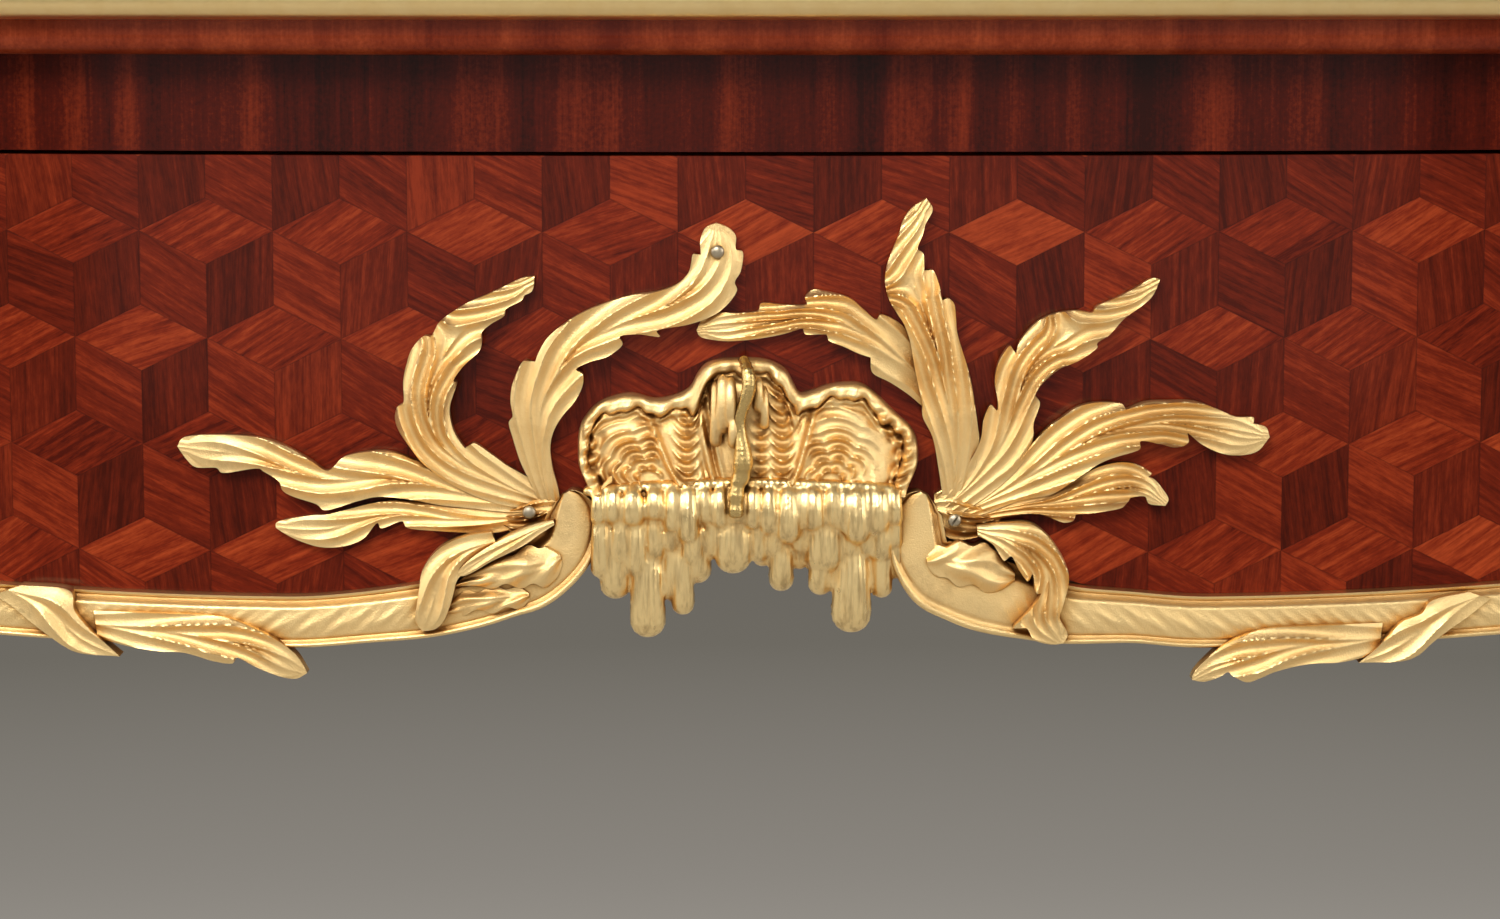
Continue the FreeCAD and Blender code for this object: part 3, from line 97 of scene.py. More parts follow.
# %% Values in a node tree
PER_METRE = 1000.0


class Value:
    """A socket of a finish that can be added, multiplied and compared."""

    def __init__(self, finish, socket):
        self.finish = finish
        self.socket = socket

    def __add__(self, other):
        return self.finish.sum("ADD", self, other)

    def __sub__(self, other):
        return self.finish.sum("SUBTRACT", self, other)

    def __mul__(self, other):
        return self.finish.sum("MULTIPLY", self, other)

    def __truediv__(self, other):
        return self.finish.sum("DIVIDE", self, other)

    def __gt__(self, other):
        return self.finish.sum("GREATER_THAN", self, other)

    def __lt__(self, other):
        return self.finish.sum("LESS_THAN", self, other)

    def least(self, other):
        return self.finish.sum("MINIMUM", self, other)

    def most(self, other):
        return self.finish.sum("MAXIMUM", self, other)

    def size(self):
        return self.finish.sum("ABSOLUTE", self)

    def nearest(self):
        return self.finish.sum("ROUND", self)


class Finish:
    """A procedural material with one Principled shader."""

    def __init__(self, name, **sockets):
        self.material = bpy.data.materials.new(name)
        self.material.use_nodes = True
        self.tree = self.material.node_tree
        self.shader = self.tree.nodes["Principled BSDF"]
        for socket, number in sockets.items():
            self.shader.inputs[socket.replace("_", " ")].default_value = number

    def put(self, value, socket):
        """Link a value to an input, or write a plain number into it."""
        if isinstance(value, Value):
            self.tree.links.new(value.socket, socket)
        elif value is not None:
            socket.default_value = value

    def node(self, kind, *inputs, output=0, **settings):
        made = self.tree.nodes.new(kind)
        for setting, choice in settings.items():
            setattr(made, setting, choice)
        for value, socket in zip(inputs, made.inputs):
            self.put(value, socket)
        return Value(self, made.outputs[output])

    def sum(self, operation, *inputs):
        return self.node("ShaderNodeMath", *inputs, operation=operation)

    def place(self):
        """The point of the piece, as three values in metres."""
        coordinates = self.tree.nodes.new("ShaderNodeTexCoord")
        split = self.tree.nodes.new("ShaderNodeSeparateXYZ")
        self.tree.links.new(coordinates.outputs["Object"], split.inputs[0])
        return [Value(self, socket) for socket in split.outputs]

    def vector(self, x, y, z):
        return self.node("ShaderNodeCombineXYZ", x, y, z)

    def in_millimetres(self, x, y, z):
        return self.vector(x * PER_METRE, y * PER_METRE, z * PER_METRE)

    def noise(self, vector, scale, detail=3.0, roughness=0.55):
        made = self.tree.nodes.new("ShaderNodeTexNoise")
        self.tree.links.new(vector.socket, made.inputs["Vector"])
        made.inputs["Scale"].default_value = scale
        made.inputs["Detail"].default_value = detail
        made.inputs["Roughness"].default_value = roughness
        return Value(self, made.outputs["Fac"])

    def chance(self, vector):
        return self.node("ShaderNodeTexWhiteNoise", vector)

    def ramp(self, value, *stops):
        """Colours along a value, each stop a place and a colour."""
        made = self.tree.nodes.new("ShaderNodeValToRGB")
        self.put(value, made.inputs[0])
        elements = made.color_ramp.elements
        for position, colour in stops[1:-1]:
            elements.new(position).color = colour
        for element, (position, colour) in ((elements[0], stops[0]), (elements[-1], stops[-1])):
            element.position = position
            element.color = colour
        return Value(self, made.outputs[0])

    def mix(self, share, first, second, blend="MIX"):
        made = self.tree.nodes.new("ShaderNodeMix")
        made.data_type = "RGBA"
        made.blend_type = blend
        self.put(share, made.inputs["Factor"])
        self.put(first, made.inputs[6])
        self.put(second, made.inputs[7])
        return Value(self, made.outputs[2])

    def spread(self, value, low, high, to_low, to_high):
        """Stretch a value from one range to another, held at the ends."""
        return self.node("ShaderNodeMapRange", value, low, high, to_low, to_high)

    def relief(self, height, distance, strength=1.0):
        """Let a height, in the given distance, tilt the light on the surface."""
        made = self.tree.nodes.new("ShaderNodeBump")
        made.inputs["Strength"].default_value = strength
        made.inputs["Distance"].default_value = distance
        self.tree.links.new(height.socket, made.inputs["Height"])
        self.tree.links.new(made.outputs[0], self.shader.inputs["Normal"])

    def wear(self, **values):
        """Link values to the shader's own sockets."""
        for socket, value in values.items():
            self.put(value, self.shader.inputs[socket.replace("_", " ")])
        return self.material


def shade(red, green, blue):
    """A colour as seen on a screen, 0 to 255, as the light values that nodes take."""
    def light(part):
        part = part / 255
        return part / 12.92 if part <= 0.04045 else ((part + 0.055) / 1.055) ** 2.4
    return (light(red), light(green), light(blue), 1.0)


print("finish tools ready")

# %% [markdown]
# ## Veneer
# The front is laid with cubes: lozenges of one wood, cut so that the grain of each runs another way,
# which makes the eye see boxes. A picture of it would blur close up, so it is drawn by arithmetic: each
# point finds the nearest cube of a lattice, then which of its three lozenges it is in, and takes that
# lozenge's grain. The same pattern runs on the fronts, the ends and round the cylinder, on other
# coordinates.

# %% Cube parquetry
CUBE_HALF = 17.45 * MM
CUBE_ROW = 27.8 * MM
LOZENGE_HALF = 8.6 * MM
CUBE_EDGE = 19.2 * MM
CUBE_STRETCH = 1.1286
JUNCTION_RISE = 1.0 * MM
JOINT_HALF = 0.13 * MM
GRAIN_DRIFT = 0.35
FIGURE_RUN = 40.0
FIGURE_SHIFT = 40.0
FLECK_RUN = 260.0
FLECK_SHIFT = 90.0
TOP_WOOD = ((0.0, (70, 15, 5)), (0.45, (112, 33, 13)), (1.0, (156, 62, 28)))
LEFT_WOOD = ((0.0, (66, 15, 5)), (0.5, (100, 28, 11)), (1.0, (140, 50, 22)))
RIGHT_WOOD = ((0.0, (58, 13, 4)), (0.5, (88, 24, 9)), (1.0, (124, 42, 18)))
SEAM_SHADE = shade(34, 9, 4)
FRENCH_POLISH = {"Roughness": 0.38, "Specular_IOR_Level": 0.05,
                 "Coat_Weight": 0.22, "Coat_Roughness": 0.1}


def nearest_cube(across, up, shift):
    """The offset from the nearest centre of one of the two lattices, and that centre."""
    column = (across / (2 * CUBE_HALF) + shift).nearest() - shift
    row = (up / (2 * CUBE_ROW) + shift).nearest() - shift
    x = across - column * (2 * CUBE_HALF)
    y = up - row * (2 * CUBE_ROW)
    return x, y, column, row, x * x + y * y * CUBE_STRETCH ** 2


def choose(share, first, second):
    """The first value where the share is 1, and the second where it is 0."""
    return second + (first - second) * share


def cube_parquetry(finish, across, up):
    """Colour and height of the cubes at a point given across and up the surface."""
    *even, even_away = nearest_cube(across, up, 0.0)
    *odd, odd_away = nearest_cube(across, up, 0.5)
    is_even = even_away < odd_away
    x, y, column, row = [choose(is_even, one, other) for one, other in zip(even, odd)]
    y = y - JUNCTION_RISE
    slope = LOZENGE_HALF / CUBE_HALF
    lean = math.cos(math.atan(slope))
    hang = x.size() * slope
    is_top = y > hang
    is_left = (x < 0.0) * finish.sum("SUBTRACT", 1.0, is_top)
    top_joint = (y - hang).least(hang * -1.0 + 2 * LOZENGE_HALF - y) * lean
    side_joint = x.size().least(x.size() * -1.0 + CUBE_HALF)
    side_joint = side_joint.least((hang - y) * lean).least((y + CUBE_EDGE - hang) * lean)
    joint = choose(is_top, top_joint, side_joint)
    face = is_top * 2.0 + is_left
    chance = finish.chance(finish.vector(column, row, face))
    other_chance = finish.chance(finish.vector(row, face, column))
    run = math.hypot(CUBE_HALF, LOZENGE_HALF)
    cosine, sine = CUBE_HALF / run, LOZENGE_HALF / run
    top_along = x * cosine + y * sine
    top_side = y * cosine - x * sine
    left_along = x * cosine - y * sine
    left_side = y * cosine + x * sine
    along = choose(is_top, top_along, choose(is_left, left_along, y))
    side = choose(is_top, top_side, choose(is_left, left_side, x))
    drift = (other_chance - 0.5) * GRAIN_DRIFT
    side = side + along * drift
    figure = finish.vector(side * PER_METRE, along * FIGURE_RUN, chance * FIGURE_SHIFT)
    fine = finish.noise(figure, 0.9, 4.0, 0.75)
    broad = finish.noise(figure, 0.22, 2.0, 0.5)
    flecked = finish.vector(side * PER_METRE, along * FLECK_RUN, chance * FLECK_SHIFT)
    fleck = finish.noise(flecked, 0.8, 3.0, 0.7)
    figure_tone = fine * 0.46 + broad * 0.28 + fleck * 0.26 + (chance - 0.5) * 0.14
    tone = finish.spread(figure_tone, 0.36, 0.66, 0.0, 1.0)
    top, left, right = [finish.ramp(tone, *[(share, shade(*colour)) for share, colour in wood])
                        for wood in (TOP_WOOD, LEFT_WOOD, RIGHT_WOOD)]
    wood = finish.mix(is_top, finish.mix(is_left, right, left), top)
    seam = finish.spread(joint, 0.0, JOINT_HALF * 2.2, 1.0, 0.0)
    colour = finish.mix(seam * 0.4, wood, SEAM_SHADE)
    height = figure_tone * 0.25 - seam
    return colour, height


def veneered(name, across, up):
    """A finish of cubes; across and up make the two surface coordinates from x, y and z."""
    finish = Finish(name, **FRENCH_POLISH)
    x, y, z = finish.place()
    colour, height = cube_parquetry(finish, across(x, y, z), up(x, y, z))
    finish.relief(height, 0.12 * MM, 0.35)
    return finish.wear(Base_Color=colour)


FIRST_ROW = FRONT_TOP - 29.2 * MM
COLUMN_SHIFT = -0.6 * MM


def above_first_row(x, y, z):
    return z - FIRST_ROW


front_cubes = veneered("cube_parquetry_front", lambda x, y, z: x - COLUMN_SHIFT, above_first_row)
end_cubes = veneered("cube_parquetry_ends", lambda x, y, z: x + y, above_first_row)
print("cube parquetry:", len(front_cubes.node_tree.nodes), "nodes")

# %% [markdown]
# The rails, legs and edges are banded: thin slips of a striped wood, laid so that the stripes cross the
# border. The stripes are noise drawn out along the grain. Which way the grain runs is chosen for each
# piece.

# %% Cross-banded veneer
ACROSS_GRAIN = 900.0
ALONG_GRAIN = 30.0
UPRIGHT = (ACROSS_GRAIN, ACROSS_GRAIN, ALONG_GRAIN)
LEVEL = (ALONG_GRAIN, ACROSS_GRAIN, ACROSS_GRAIN)
SLIP_WIDTH = 21.0
END_FACING = 0.7


def banded(name, x_scale, y_scale, z_scale, dark=(38, 5, 1), middle=(70, 14, 4), pale=(112, 36, 13)):
    """A striped wood; its grain runs along the axis with the small scale.

    On the ends of a board whose grain runs along x, it runs front to back instead.
    """
    finish = Finish(name, **FRENCH_POLISH)
    x, y, z = finish.place()
    if x_scale < y_scale:
        normal = finish.node("ShaderNodeNewGeometry", output="Normal")
        facing = finish.node("ShaderNodeSeparateXYZ", normal)
        y_scale = (facing.size() > END_FACING) * (x_scale - y_scale) + y_scale
    scaled = (x * x_scale, y * y_scale, z * z_scale)
    figure = finish.vector(*scaled)
    fine = finish.noise(figure, 1.1, 4.0, 0.65)
    broad = finish.noise(figure, 0.085, 2.0, 0.5)
    point = finish.in_millimetres(x, y, z)
    fleck = finish.noise(point, 0.9, 2.0, 0.7)
    slip = finish.chance(finish.vector(*[(value / SLIP_WIDTH).nearest() for value in scaled]))
    tone = fine * 0.24 + broad * 0.56 + fleck * 0.2 + (slip - 0.5) * 0.06
    tone = finish.spread(tone, 0.37, 0.64, 0.0, 1.0)
    colour = finish.ramp(tone, (0.0, shade(*dark)), (0.5, shade(*middle)), (1.0, shade(*pale)))
    finish.relief(fine, 0.1 * MM, 0.3)
    return finish.wear(Base_Color=colour)


upright_band = banded("banding_upright", *UPRIGHT)
level_band = banded("banding_level", *LEVEL)
moulding_wood = banded("moulding_wood", *UPRIGHT, (96, 30, 14), (122, 46, 22), (150, 66, 34))
oak = banded("oak", *LEVEL, (112, 76, 42), (158, 116, 70), (190, 150, 100))
inner_wood = banded("inner_veneer", *LEVEL, (92, 42, 22), (140, 74, 40), (176, 108, 64))
print("banded woods ready")

# %% [markdown]
# ## Gilt bronze
# The mounts are cast, chased with small chisels and fire-gilt, then left matt, with the ridges rubbed
# bright. On chased metal the colour follows the ambient occlusion node, which measures how much light
# can reach a point: painted shade darkens and browns the hollows, where the real brown bloom also
# lies, and painted light pales the open surfaces. A fine stipple breaks up the gloss as the chasing does.

# %% Gilt bronze and brass
# reach and samples of the ambient occlusion node that paints shade into the hollows of chased metal
SHADE_PROBE_REACH = 5 * MM
SHADE_PROBE_SAMPLES = 6
CHASED_SOOT = 0.24
DRAWN_SOOT = 0.04
STREAK_RUN = 90.0


def gilded(name, colours, roughness, stipple, chased=True, streaks=0.0):
    """A metal that, where it is chased, takes painted shade in its hollows and painted light on its
    open surfaces, and is polished on its ridges.

    The brown of the shaded hollows also stands for their real bloom. Its three colours go from hollow
    to open surface, its two roughnesses from polished to matt, and the stipple is in millimetres.
    """
    deep, body, bright = [shade(*colour) for colour in colours]
    polished, matt = roughness
    finish = Finish(name, Metallic=1.0)
    x, y, z = finish.place()
    point = finish.in_millimetres(x, y, z)
    ridge = finish.node("ShaderNodeNewGeometry", output="Pointiness")
    cloud = finish.noise(point, 0.12, 3.0, 0.6)
    grain = finish.noise(point, 2.4, 2.0, 0.6)
    lit = cloud * 0.3 + 0.62
    if chased:
        # painted shade and light: the ambient occlusion node darkens and browns the hollows, also for
        # their real bloom, and pales the open surfaces
        hollow = finish.tree.nodes.new("ShaderNodeAmbientOcclusion")
        hollow.samples = SHADE_PROBE_SAMPLES
        hollow.inputs["Distance"].default_value = SHADE_PROBE_REACH
        reach = Value(finish, hollow.outputs["AO"])
        lit = finish.spread(reach + (cloud - 0.5) * 0.3, 0.35, 0.95, 0.0, 1.0)
    colour = finish.ramp(lit, (0.0, deep), (0.55, body), (1.0, bright))
    most_soot = CHASED_SOOT if chased else DRAWN_SOOT
    soot = finish.spread(finish.noise(point, 0.07, 4.0, 0.7), 0.55, 0.72, 0.0, most_soot)
    colour = finish.mix(soot, colour, deep)
    polish = finish.spread(ridge + (cloud - 0.5) * 0.1, 0.48, 0.56, 0.0, 1.0) if chased else cloud
    rough = finish.spread(polish, 0.0, 1.0, matt, polished)
    if streaks:
        run = finish.vector(x * PER_METRE, y * PER_METRE, z * STREAK_RUN)
        streak = finish.noise(run, 0.55, 3.0, 0.6)
        colour = finish.mix(finish.spread(streak, 0.46, 0.66, 0.0, streaks), colour, deep)
        grain = grain * 0.2 + streak
    finish.relief(grain, stipple * MM, 0.5)
    return finish.wear(Base_Color=colour, Roughness=rough)


gilt_bronze = gilded("gilt_bronze", ((136, 92, 46), (223, 180, 112), (249, 217, 155)), (0.34, 0.52), 0.24)
dripping_bronze = gilded("dripping_bronze", ((118, 76, 34), (240, 192, 116), (254, 226, 164)),
                         (0.24, 0.4), 0.3, streaks=0.4)
worn_bronze = gilded("worn_bronze", ((58, 42, 20), (128, 102, 58), (208, 178, 116)), (0.2, 0.34), 0.2)
brass_trim = gilded("brass_trim", ((120, 78, 34), (228, 192, 126), (250, 226, 170)),
                    (0.28, 0.36), 0.006, chased=False)
print("metals ready")

# %% [markdown]
# ## Leather, iron and steel
# The writing surface is tooled goatskin: a pebbled grain from cells of noise, and gilt lines round the
# border. The iron arms and the steel pivots are inside the case, dull and slightly brown. The pins that
# hold the mounts are of a plain greyish metal.

# %% Leather
SLIDE_LOW, SLIDE_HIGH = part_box("slide_leather")
GILT_LINES = ((14 * MM, 1.0 * MM), (17.5 * MM, 0.5 * MM), (30 * MM, 0.5 * MM), (33.5 * MM, 1.0 * MM))
BORDER_INSET = 23.75 * MM
BORDER_HALF = 4.5 * MM
BEADS_PER_METRE = 700.0
BEAD_CUT = 0.25


def tooled_leather():
    """Pebbled leather with gilt lines and a beaded band round its border."""
    finish = Finish("tooled_leather", Roughness=0.55)
    x, y, z = finish.place()
    point = finish.in_millimetres(x, y, z)
    cells = finish.tree.nodes.new("ShaderNodeTexVoronoi")
    cells.feature = "DISTANCE_TO_EDGE"
    cells.inputs["Scale"].default_value = 0.55
    finish.tree.links.new(point.socket, cells.inputs["Vector"])
    pebble = finish.spread(Value(finish, cells.outputs[0]), 0.0, 0.25, 0.0, 1.0)
    cloud = finish.noise(point, 0.02, 3.0, 0.6)
    colour = finish.ramp(cloud, (0.3, shade(46, 14, 10)), (0.7, shade(92, 30, 20)))
    colour = finish.mix(finish.sum("SUBTRACT", 1.0, pebble) * 0.4, colour, shade(28, 9, 7))
    half = (SLIDE_HIGH - SLIDE_LOW) / 2
    middle = (SLIDE_HIGH + SLIDE_LOW) / 2
    edge_x = (x - middle.x).size() * -1.0 + half.x
    edge_y = (y - middle.y).size() * -1.0 + half.y
    edge = edge_x.least(edge_y)
    lines = None
    for inset, width in GILT_LINES:
        line = (edge - inset).size() < width
        lines = line if lines is None else lines.most(line)
    bead = finish.sum("SINE", x * BEADS_PER_METRE) * finish.sum("SINE", y * BEADS_PER_METRE)
    border = ((edge - BORDER_INSET).size() < BORDER_HALF) * (bead > BEAD_CUT)
    gilt = lines.most(border)
    colour = finish.mix(gilt, colour, shade(206, 164, 92))
    finish.relief(pebble - gilt, 0.3 * MM, 0.6)
    return finish.wear(Base_Color=colour, Metallic=gilt)


leather = tooled_leather()
iron = gilded("dull_iron", ((30, 24, 20), (66, 58, 52), (96, 88, 82)), (0.45, 0.6), 0.3)
pin_metal = gilded("pin_metal", ((64, 54, 42), (134, 122, 100), (176, 164, 142)), (0.34, 0.5), 0.05)
steel = gilded("bright_steel", ((60, 56, 52), (150, 148, 144), (190, 188, 184)), (0.2, 0.34), 0.05,
               chased=False)
print("leather and plain metals ready")

# %% [markdown]
# ## Dressing the case
# The case pieces have the right shape already, so they keep it and only take a finish. The mounts that
# are chased further down take theirs there. The cylinder's cubes run round its curve, so their height is
# an arc length.

# %% Finishes on the case
hinges = [joint for joint in frame["record"]["behaviour"]["joints"] if joint["name"] == "cylinder_turn"]
AXIS_Y, AXIS_Z = hinges[0]["pos_m"][1:]
WALL_RADIUS = AXIS_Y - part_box("cylinder_wall")[0].y


def round_the_cylinder(x, y, z):
    """The distance up the cylinder's outside from the height of its axis."""
    turn = x.finish.sum("ARCTAN2", z - AXIS_Z, y * -1.0 + AXIS_Y)
    return turn * WALL_RADIUS


cylinder_cubes = veneered("cube_parquetry_cylinder", lambda x, y, z: x, round_the_cylinder)
back_cubes = veneered("cube_parquetry_back", lambda x, y, z: x, above_first_row)
FINISHES = {
    front_cubes: ["centre_drawer_front", "left_drawer_front", "right_drawer_front"],
    end_cubes: ["cheek_left", "cheek_right", "side_apron_left", "side_apron_right"],
    back_cubes: ["back_apron"],
    cylinder_cubes: ["cylinder_wall"],
    upright_band: ["front_rail", "drawer_dividers", "leg_front_left", "leg_front_right", "leg_back_left",
                   "leg_back_right"],
    moulding_wood: ["bed_ovolo"],
    level_band: ["bed_board", "top_board", "case_back", "slide_lipping", "slide_guides"],
    oak: ["drawer_runners", "centre_drawer_box", "left_drawer_box", "right_drawer_box"],
    inner_wood: ["fitment_boards", "slide_board", "small_drawer_left", "small_drawer_centre",
                 "small_drawer_right"],
    brass_trim: ["bed_edge_moulding", "top_edge_moulding", "gallery_bars", "gallery_balusters",
                 "cylinder_edge_rail", "pivot_bushes"],
    gilt_bronze: ["cylinder_escutcheon"],
    leather: ["slide_leather"],
    iron: ["cylinder_arms"],
    steel: ["cylinder_pivots"],
}
for finish, names in FINISHES.items():
    for name in names:
        node = frame["nodes"][name]
        node.data.materials.clear()
        node.data.materials.append(finish)
print("finished", sum(len(names) for names in FINISHES.values()), "case pieces")

# %% [markdown]
# ## Shaping tools
# Cast mounts are too free in form to be drawn with straight cuts. Each starts as a flat grid, whose
# corners are then put where a formula says: that is what a modeller's thumb does to a sheet of wax. Its
# rim is turned back to the wood, so that it reads as a solid casting, and its back is closed.

# %% Shaping tools
MERGE = 1e-6
SMOOTH_ANGLE = math.radians(50)
LINE_STEPS = 24


def clear_selection():
    bpy.ops.object.select_all(action="DESELECT")


def pick(piece):
    """Select one piece alone, ready for an operator."""
    clear_selection()
    piece.select_set(True)
    bpy.context.view_layer.objects.active = piece


def corners_of(piece):
    """The places of a mesh's corners, a row for each."""
    flat = np.empty(len(piece.data.vertices) * 3)
    piece.data.vertices.foreach_get("co", flat)
    return flat.reshape(-1, 3)


def shaped_grid(name, along, across, place):
    """A grid of along by across squares.

    place(t, s) gives its corners, t from 0 to 1 along it and s from -1 to 1 across.
    """
    clear_selection()
    bpy.ops.mesh.primitive_grid_add(x_subdivisions=along, y_subdivisions=across, size=2)
    piece = bpy.context.active_object
    piece.name = name
    flat = corners_of(piece)
    shaped = np.column_stack(place((flat[:, 0] + 1) / 2, flat[:, 1]))
    piece.data.vertices.foreach_set("co", shaped.ravel())
    piece.data.update()
    return piece


def close_up(piece, merge=MERGE):
    """Merge doubled corners, close open borders and turn the faces outwards."""
    pick(piece)
    bpy.ops.object.mode_set(mode="EDIT")
    bpy.ops.mesh.select_all(action="SELECT")
    bpy.ops.mesh.remove_doubles(threshold=merge)
    bpy.ops.mesh.select_all(action="SELECT")
    bpy.ops.mesh.fill_holes(sides=0)
    bpy.ops.mesh.select_all(action="SELECT")
    bpy.ops.mesh.normals_make_consistent(inside=False)
    bpy.ops.object.mode_set(mode="OBJECT")
    bpy.ops.object.shade_smooth_by_angle(angle=SMOOTH_ANGLE)
    return piece


def joined(name, parts):
    """Several shapes made one mesh."""
    clear_selection()
    for part in parts:
        part.select_set(True)
    bpy.context.view_layer.objects.active = parts[0]
    bpy.ops.object.join()
    piece = bpy.context.active_object
    piece.name = name
    piece.data.name = name
    return piece


def mounted(piece, body, *nodes, slot="gilt_bronze", finish=gilt_bronze):
    """Give a finished piece its finish, its body and the measured pieces that it stands for."""
    if finish:
        piece.data.materials.clear()
        piece.data.materials.append(finish)
    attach(piece, body)
    if nodes:
        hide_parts(*nodes)
    print(piece.name, "has", len(piece.data.polygons), "faces")


def smooth_line(points, count):
    """A smooth line through the points, with any further columns, evenly spaced."""
    points = np.array(points, dtype=float)
    ends = np.vstack([2 * points[0] - points[1], points, 2 * points[-1] - points[-2]])
    share = np.linspace(0, 1, LINE_STEPS, endpoint=False)[:, None]
    fine = []
    for before, start, end, after in zip(ends, ends[1:], ends[2:], ends[3:]):
        bend = 2 * before - 5 * start + 4 * end - after
        swing = 3 * start - before - 3 * end + after
        fine.append(start + 0.5 * ((end - before) * share + bend * share ** 2 + swing * share ** 3))
    fine = np.vstack(fine + [points[-1:]])
    run = np.concatenate([[0], np.cumsum(np.hypot(*np.diff(fine[:, :2], axis=0).T))])
    even = np.linspace(0, run[-1], count)
    return np.column_stack([np.interp(even, run, column) for column in fine.T]), run[-1]


def at_share(t, rows):
    """The values of evenly spaced rows at shares of their run, column by column."""
    shares = np.linspace(0, 1, len(rows))
    return [np.interp(t, shares, column) for column in rows.T]


def directions(path):
    """Which way a flat line runs at each of its points."""
    tangent = np.gradient(path[:, :2], axis=0)
    return tangent / np.hypot(*tangent.T)[:, None]


def bump(value, middle, breadth):
    """A smooth hump, 1 in the middle."""
    return np.exp(-((value - middle) / breadth) ** 2)


def ease(value, start, end):
    """0 before start, 1 after end, smooth between."""
    share = np.clip((value - start) / (end - start), 0, 1)
    return share * share * (3 - 2 * share)


print("shaping tools ready")

# %% [markdown]
# ## Acanthus leaves
# Each leaf is a tongue whose edges step out into lobes that lean towards the tip; flutes run its length
# between sharp crests and open into the lobes. The leaves of the two sprays have both edges drawn, root
# to tip, in the pixels of the picture. Smaller leaves have a midrib with half widths and the places of
# their lobe tips. A pixel becomes PIXEL millimetres, across from the middle and down from the top of the
# drawer front.

# %% Leaf shape
PIXEL = 0.26
PHOTO_MIDDLE = 748
PHOTO_TOP = 157
FRONT_SHARE = 0.8
WALL_SHARE = 0.88
SKIRT = 0.5
LEAN = 0.8
NOTCH = 0.3
LOBE_NOSE = 0.78
TOOTH_DEPTH = 0.04
LOBE_TEETH = 4
TIP_SETBACK = 0.04
TIP_RANGE = (0.08, 0.94)
LEAF_BREADTH = 1.22
LOBE_LIFT = 4.0
VEIN_SWEEP = 1.6
VEIN_LENGTH = 200
ROPE_START = 0.62
ROPE_FULL = 0.76
FLUTE_DEPTH = 0.27
DEEPEST_FLUTE = 6.0
LEAF_CROWN = 0.18
THINNEST_LEAF = 4.0
RIM_TUCK = 0.03
CRINKLE_RUN = 7.5
LINE_COUNT = 240
OUTLINE_COUNT = 300
SPINE_EVENING = 40
BREADTH_EVENING = 30
LEAST_HALF = 5.0
FAR_ASIDE = 1.4


def round_section(s):
    """Walk round a mount's section: over its front, down its wall and to the middle of its back."""
    away = np.abs(s)
    side = np.clip(away / FRONT_SHARE, 0, 1)
    side = np.where(away > WALL_SHARE, (1 - away) / (1 - WALL_SHARE), side) * np.sign(s)
    behind = np.clip((away - FRONT_SHARE) / (WALL_SHARE - FRONT_SHARE), 0, 1)
    return side, behind


def lobes_of(t, tips):
    """How far out the edge stands, 1 at a lobe's tip, and how far along its lobe each point is."""
    borders = np.array([0.0] + sorted(tips) + [1.0])
    notches = np.array([0.0] + [NOTCH] * len(tips) + [0.0])
    place = np.clip(np.searchsorted(borders, t, side="right") - 1, 0, len(borders) - 2)
    along = (t - borders[place]) / (borders[place + 1] - borders[place])
    depth = notches[place] * (1 - along) ** 1.5
    nose = np.clip((along - LOBE_NOSE) / (1 - LOBE_NOSE), 0, 1)
    depth = depth + notches[place + 1] * (1 - np.sqrt(1 - nose ** 2))
    teeth = np.where(notches[place + 1] > 0, TOOTH_DEPTH * along * ((along * LOBE_TEETH) % 1.0), 0.0)
    return 1 - depth - teeth, along


def lobe_tips(path, tips):
    """The share of the midrib at each lobe tip, sorted to the two sides of the leaf."""
    sides = ([], [])
    tangent = np.gradient(path[:, :2], axis=0)
    for x, y in tips:
        offset = np.array((x, y)) - path[:, :2]
        nearest = int(np.argmin(np.hypot(*offset.T)))
        cross = tangent[nearest, 0] * offset[nearest, 1] - tangent[nearest, 1] * offset[nearest, 0]
        share = float(np.clip(nearest / (len(path) - 1) - TIP_SETBACK, *TIP_RANGE))
        sides[int(cross > 0)].append(share)
    return sides


def leaf_height(t, side, half, length, flutes, rise, twist=0.0, dish=0.0, chase=1.0):
    """How far a leaf's face stands out, in pixels: a crown or dish, with flutes between crests."""
    lift = np.interp(t, np.linspace(0, 1, len(rise)), rise) / PIXEL
    roped = ease(t, ROPE_START, ROPE_FULL) * (twist > 0)
    veins = VEIN_SWEEP * t * length / VEIN_LENGTH + twist * np.clip(t - ROPE_START, 0, 1)
    fan = np.abs(side) ** 0.9 * (1 - roped) + (side + 1) * 0.6 * roped
    crest = 1 - np.abs(np.sin(np.pi * (flutes * 0.38 * fan - veins)))
    depth = np.minimum(FLUTE_DEPTH * half, DEEPEST_FLUTE) * (0.35 + 0.65 * ease(t, 0.1, 0.4))
    depth = depth * (1 - 0.8 * ease(t, 0.7, 0.94) * (1 - roped))
    crown = half * (LEAF_CROWN * (1 - side ** 2) + dish * np.minimum(side ** 2, FAR_ASIDE))
    return np.maximum(lift + crown + chase * depth * (crest - 0.45), THINNEST_LEAF)


